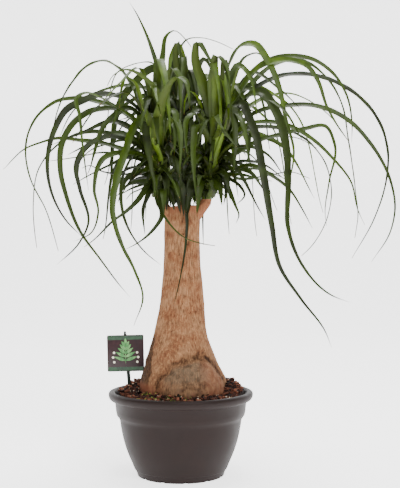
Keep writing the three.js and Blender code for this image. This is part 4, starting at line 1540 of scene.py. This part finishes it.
# A plain leaf's arch, as shares of its reach and its rise, and its narrowest and widest
ARCH = ((0, 0), (0.14, 0.58), (0.4, 1), (0.72, 0.74))
FILLING_WIDTHS = (11, 17)


def shaped_leaf(head: LeafHead, row: list, shift: float) -> Leaf:
    """Return a leaf that passes given places and runs back or forward as it goes out."""
    width, depth, roll, root, *places = row
    start = head.at(root)
    flat = [(start.x, root), *places]
    lengths = [0.0]
    for a, b in zip(flat, flat[1:]):
        lengths.append(lengths[-1] + math.hypot(b[0] - a[0], b[1] - a[1]))
    back = depth + SHIFT_DEPTH * shift
    points = [Vector((x, start.y + back * math.sin(math.pi / 2 * (far / lengths[-1])), z))
              for (x, z), far in zip(flat, lengths)]
    outward = (places[-1][0] > start.x) - (places[-1][0] < start.x)
    if places[-1][1] > CENTRAL_LOW and abs(places[-1][0] - start.x) < CENTRAL_REACH:
        return Leaf(width * CENTRAL_WIDTH, max(-25, min(25, roll)) * outward, points)
    profile = DRAWN_OUT if lengths[-1] > SHORT_LEAF and places[-1][1] < HELD_ABOVE else HELD
    return Leaf(width, roll * outward, points, root_roll=ROOT_ROLL * outward, profile=profile)


def filling_leaf(head: LeafHead, rule: Filling, i: int, shift: float) -> Leaf:
    """Return a plain arching leaf at a bearing."""
    bearing = rule.middle + rule.spread * (even(i, 0.618034, 0.5) - 0.5) + SHIFT_BEARING * shift
    reach = mix(*rule.reach, even(i, 0.754878, 0.2))
    rise = mix(*rule.rise, even(i, 0.569840, 0.7))
    fall = mix(*rule.fall, even(i, 0.819173, 0.4))
    root = mix(*rule.root, even(i, 0.569840, 0.7))
    start = head.at(root)
    turn = math.radians(bearing)
    bend = math.radians(mix(-16, 16, even(i, 0.381966, 0.3)))
    points = []
    for out, up in (*ARCH, (1, -fall / rise)):
        x, y = polar(reach * out, turn + bend * out)
        points.append(Vector((start.x + x, start.y + y, root + rise * up)))
    aside = math.cos(turn)
    roll = aside * mix(40, 85, even(i, 0.291, 0.6)) + mix(-20, 20, even(i, 0.7241, 0.2))
    profile = DRAWN_OUT if reach > SHORT_LEAF else HELD
    width = mix(*FILLING_WIDTHS, even(i, 0.437, 0.15))
    return Leaf(width, roll, points, root_roll=roll, profile=profile)


@dataclass
class Crown:
    """All the foliage: three heads of strap leaves, kept clear of each other and of the trunk."""

    trunk: Trunk
    heads: dict = field(default_factory=lambda: {
        Head.LEFT: LeafHead(-38, -10, -48, -14, 0.2),
        Head.RIGHT: LeafHead(48, -3, 74, -6, 0.6),
        Head.BACK: LeafHead(6, 33, 5, 50, 0.2),
    })
    stem_guard: float = 13.0
    stub_low: float = 488.0
    scales: int = 26
    scales_top: float = 566.0
    stem: tuple = ((0, 9.5), (0.15, 11.5), (0.5, 10), (0.8, 6), (1, 2))
    step: float = 7.0
    section: tuple = ((-1.0, 0), (-0.5, 0), (0.0, 0), (0.5, 0), (1.0, 0), (0.5, 1), (0.0, 1),
                      (-0.5, 1))
    marks: tuple = ("tone", "along", "under", "across")

    def guards_of(self, leaf: Leaf) -> np.ndarray:
        """Return round places along a leaf, as x, y, z and radius."""
        path = smooth_path(leaf.points, 8)
        last = len(path) - 1
        return np.array([(*p, blade_width(leaf.width, leaf.profile, i / last) / 2)
                         for i, p in enumerate(path)])

    def is_clear(self, guards: np.ndarray, others: np.ndarray, room: float) -> bool:
        """Tell whether a leaf keeps clear of the trunk and of what belongs to other heads."""
        for x, y, z, radius in guards:
            if z < self.trunk.top + (8 if room > 0 else 3):
                away = math.hypot(x - self.trunk.middle(z), y)
                if away < self.trunk.plain_radius(z) + radius + max(room, 1.0):
                    return False
        gaps = np.linalg.norm(guards[:, None, :3] - others[None, :, :3], axis=2)
        return not (gaps < guards[:, None, 3] + others[None, :, 3] + room).any()

    def makers(self, batch: Batch) -> list:
        """List the leaves of a batch.

        Args:
            batch: The batch.

        Returns:
            For each leaf its head's name and what makes the leaf, given a shift.
        """
        made = []
        for name, rows in batch.table.items():
            head = self.heads[name]
            for row in rows:
                if isinstance(row, Filling):
                    made += [(name, partial(filling_leaf, head, row, batch.first + i))
                             for i in range(row.count)]
                else:
                    made.append((name, partial(shaped_leaf, head, row)))
        return made

    def stem_guards(self) -> dict:
        """Return round places along the shoots and the stubs, which every leaf keeps clear of."""
        stubs = []
        guards: dict = {}
        for name, head in self.heads.items():
            for k in range(4):
                t = mix(0.6, 1, k / 3)
                z = mix(self.stub_low, self.trunk.top, k / 3)
                stubs.append((head.x * t, head.y * t, z, self.stem_guard))
            heights = np.arange(head.base + 10, head.top - 20, 12)
            guards[name] = [np.array([(*head.at(z), self.stem_guard) for z in heights])]
        guards["stubs"] = [np.array(stubs)]
        return guards

    def lay(self) -> None:
        """Lay every leaf where it keeps clear of the other heads, the stubs and the trunk."""
        guards = self.stem_guards()
        for batch in BATCHES:
            for name, make in self.makers(batch):
                others = np.vstack([part for key, parts in guards.items() if key != name
                                    for part in parts])
                for shift in SHIFTS:
                    leaf = make(shift)
                    leaf.inner, leaf.young = batch.inner, batch.young
                    around = self.guards_of(leaf)
                    if self.is_clear(around, others, batch.room):
                        self.heads[name].leaves.append(leaf)
                        guards[name].append(around)
                        break

    def put(self, build: dict, place: Vector, *values: float) -> None:
        """Add a point to a head, with a value for each of its marks."""
        build["points"].append(place)
        for name, value in zip(self.marks, values):
            build[name].append(value)

    def add_blade(self, leaf: Leaf, number: int, build: dict, flare: float = 0.35) -> None:
        """Add one blade: a channelled strap with a rippled edge, rolled more and more to its tip.

        Args:
            leaf: The leaf.
            number: Its number, which settles its small differences.
            build: The head's points, faces and marks, which are added to.
            flare: How much wider the sheathed root is.
        """
        path = smooth_path(leaf.points, self.step, 16)
        last = len(path) - 1
        away = path[last] - path[0]
        away.z = 0
        away.normalize()
        side = Vector((-away.y, away.x, 0))
        wave = mix(26, 60, even(number, 0.6180, 0.1))
        ripple = mix(0.3, 1.1, even(number, 0.7549, 0.5))
        phase = math.tau * even(number, 0.3820, 0.2)
        start = len(build["points"])
        for i, p in enumerate(path):
            t = i / last
            along = (path[min(i + 1, last)] - path[max(i - 1, 0)]).normalized()
            up = along.cross(side).normalized()
            across = up.cross(along)
            root_roll = leaf.root_roll * smooth(t, 0.0, 0.12)
            roll = math.radians(mix(root_roll, leaf.roll, smooth(t, 0.3, 0.62)))
            wide = across * math.cos(roll) + up * math.sin(roll)
            face = up * math.cos(roll) - across * math.sin(roll)
            tip = smooth(t, 1.0, 0.94)
            half = blade_width(leaf.width, leaf.profile, t) / 2 * mix(0.25, 1.0, tip)
            half *= 1 + flare * smooth(t, 0.08, 0.0)
            keel = (0.8 + 0.16 * half) * (1 + 1.2 * smooth(t, 0.1, 0.0))
            swing = math.tau * (i * self.step) / wave + phase
            for u, under in self.section:
                trough = -keel * (1 - abs(u) ** 1.4)
                edge = ripple * u * u * (half / 8) * math.sin(swing + (u > 0) * 1.9)
                depth = under * mix(0.55, 0.35, abs(u)) * mix(0.6, 1, tip)
                self.put(build, p + wide * (u * half) + face * (trough + edge - depth),
                         leaf.tone, max(t, leaf.aged), float(under), 0.5 + 0.5 * u)
        build["faces"] += ring_faces(last + 1, len(self.section), start)

    def wrapped(self, head: LeafHead, leaf: Leaf) -> list:
        """Return a leaf's places with its root drawn down along the stem that it wraps.

        Args:
            head: The head that the leaf grows on.
            leaf: The leaf, whose first place lies on the stem's middle.

        Returns:
            Places that start lower, at the stem's side.
        """
        start = leaf.points[0]
        away = leaf.points[2] - start
        away.z = 0
        away.normalize()
        drop = min(46.0, start.z - head.base - 5)
        out = mix(11.5, 6.5, smooth(start.z, 550, 625))
        foot = head.at(start.z - drop) + away * (out - 1)
        knee = head.at(start.z - 0.4 * drop) + away * out
        return [foot, knee, start + away * (out + 2) + Vector((0, 0, 6)), *leaf.points[1:]]

    def sheaths(self, head: LeafHead, build: dict, number: int) -> None:
        """Wrap the foot of a shoot in short broad scales, the bases of its lowest leaves."""
        for k in range(self.scales):
            z = mix(head.base + 3, self.scales_top, k / self.scales)
            turn = math.tau * even(k, 0.381966, 0.1)
            out = Vector((*polar(1, turn), 0))
            length = mix(22, 44, even(k, 0.7549, 0.3))
            foot = head.at(z) + out * 9.5
            lean = mix(0.25, 0.6, even(k, 0.57, 0.2))
            points = [foot, foot + out * 4 + Vector((0, 0, length * 0.4)),
                      foot + out * (4 + length * lean) + Vector((0, 0, length * 0.85))]
            leaf = Leaf(mix(13, 18, even(k, 0.437, 0.4)), mix(-20, 20, even(k, 0.29, 0.1)), points,
                        mix(0.1, 0.34, even(k, 0.618, 0.6)))
            self.add_blade(leaf, number + k, build, 0.1)

    def shoot(self, head: LeafHead, build: dict) -> None:
        """Add the slim stem that the leaves' bases wrap."""
        start = len(build["points"])
        sides, rings = 24, 30
        for i in range(rings):
            share = i / (rings - 1)
            radius = reading(self.stem, share)
            middle = head.at(mix(head.base, head.top, share))
            for j in range(sides):
                turn = math.tau * j / sides
                fold = 1 + 0.06 * math.sin(5 * turn + 9 * share)
                self.put(build, middle + Vector((*polar(1, turn), 0)) * (radius * fold),
                         0.12, mix(0.0, 0.06, share), 0.0, j / sides)
        build["faces"] += ring_faces(rings, sides, start)

    def tone_of(self, head: LeafHead, leaf: Leaf, number: int) -> float:
        """Return a leaf's shade: young upright leaves are bright, low old ones are dark, and inner
        leaves are dark as painted shade of the crown's inside.
        """
        if leaf.young:
            return 0.66
        # Painted shade: leaves inside the crown and over the stubs get dark tones
        if leaf.inner:
            return 0.06 + 0.34 * even(number, 0.618, 0.3)
        height = smooth(leaf.points[0].z, 550, 615)
        reach = (leaf.points[-1] - head.at(600)).length
        high = 0.3 * height * even(number, 0.618, 0.3)
        upright = 0.16 * (smooth(reach, 260, 90) * height)
        hanging = 0.2 * smooth(leaf.points[-1].z, 460, 330)
        tone = 0.18 + 0.1 * smooth(reach, 180, 320) + high + upright - hanging
        return max(0.06, min(0.85, tone + 0.34 * (even(number, 0.7549, 0.6) - 0.4)))

    def dress(self) -> None:
        """Lay the leaves, then build each head as one piece."""
        self.lay()
        finish = StrapLeaf().make()
        for order, (name, head) in enumerate(self.heads.items()):
            build: dict = {key: [] for key in ("points", "faces", *self.marks)}
            self.shoot(head, build)
            self.sheaths(head, build, 500 + 40 * order)
            for number, leaf in enumerate(head.leaves):
                leaf.tone = self.tone_of(head, leaf, number)
                leaf.aged = 0.0 if leaf.young else 0.2 * smooth(leaf.points[0].z, 600, 565)
                leaf.points = self.wrapped(head, leaf)
                self.add_blade(leaf, number + 100 * order, build)
            piece = mesh_piece(f"foliage_{name.value}", build["points"], build["faces"])
            for key in self.marks:
                mark(piece, key, build[key])
            hand_over(piece, finish, (f"head_{name.value}",), 50)
            log.info("%s: %d leaves", piece.name, len(head.leaves))


# Studio


@dataclass
class Studio:
    """A pale floor that sweeps up behind, soft lamps and the camera."""

    eye: tuple = (0.0359, -1.700, 0.4072)
    lens: float = 66.9
    rise: float = 0.0246
    shade: str = "#f4f4f4"
    glow: float = 2.2
    air: float = 0.55
    lamps: tuple = (("key_lamp", (0.9, -1.9, 2.1), (0, 0, 0.4), 1.2, 60),
                    ("fill_lamp", (-1.9, -1.6, 1.1), (0, 0, 0.4), 1.8, 12),
                    ("top_lamp", (0.1, 0.1, 2.6), (0, 0, 0.5), 0.8, 62))

    def floor(self) -> None:
        """Make the floor and the sweep behind the plant as one sheet."""
        deselect()
        sweep_turns = [math.radians(6 * k) for k in range(16)]
        line = [(-3000.0, 0.0), *((2200 + 1500 * math.sin(a), 1500 - 1500 * math.cos(a))
                                  for a in sweep_turns), (3700.0, 6000.0)]
        points = [(x, y, z) for y, z in line for x in (-7000, 7000)]
        faces = [(2 * i, 2 * i + 1, 2 * i + 3, 2 * i + 2) for i in range(len(line) - 1)]
        sweep = mesh_piece("studio_sweep", points, faces)
        for face in sweep.data.polygons:
            face.use_smooth = True
        paper = linear(self.shade)
        sweep.data.materials.append(Shading("paper_sweep_matt").finish(
            Base_Color=paper, Roughness=0.95, Emission_Color=paper, Emission_Strength=self.glow))

    def lamp(self, name: str, spot: tuple, aim: tuple, size: float, power: float) -> None:
        """Hang one soft square lamp that shines on a point."""
        light = bpy.data.lights.new(name, "AREA")
        light.size = size
        light.energy = power
        holder = bpy.data.objects.new(name, light)
        holder.location = spot
        holder.rotation_euler = (Vector(aim) - Vector(spot)).to_track_quat("-Z", "Y").to_euler()
        bpy.context.scene.collection.objects.link(holder)

    def camera(self) -> None:
        """Set the camera where the photograph was taken from."""
        lens = bpy.data.cameras.new("camera")
        lens.sensor_fit = "VERTICAL"
        lens.sensor_height = 36.0
        lens.lens = self.lens
        lens.shift_y = self.rise
        lens.clip_end = 50
        holder = bpy.data.objects.new("camera", lens)
        holder.location = self.eye
        holder.rotation_euler = (math.pi / 2, 0, 0)
        bpy.context.scene.collection.objects.link(holder)
        bpy.context.scene.camera = holder

    def build(self) -> None:
        """Set up the whole studio."""
        self.camera()
        self.floor()
        world = bpy.data.worlds.new("studio_air")
        world.use_nodes = True
        feed(world.node_tree, world.node_tree.nodes["Background"],
             {"Color": (1, 1, 1, 1), "Strength": self.air})
        bpy.context.scene.world = world
        for lamp in self.lamps:
            self.lamp(*lamp)


def main() -> None:
    """Build the studio and dress the plant, piece by piece."""
    logging.basicConfig(level=logging.INFO, format="%(message)s")
    log.info("packed nodes: %s", ", ".join(sorted(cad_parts)))
    Studio().build()
    BowlPot().dress()
    trunk = Trunk()
    crown = Crown(trunk)
    trunk.dress(crown.heads)
    BarkSoil().dress()
    PlantLabel().dress()
    crown.dress()
    deselect()


if __name__ == "__main__":
    main()
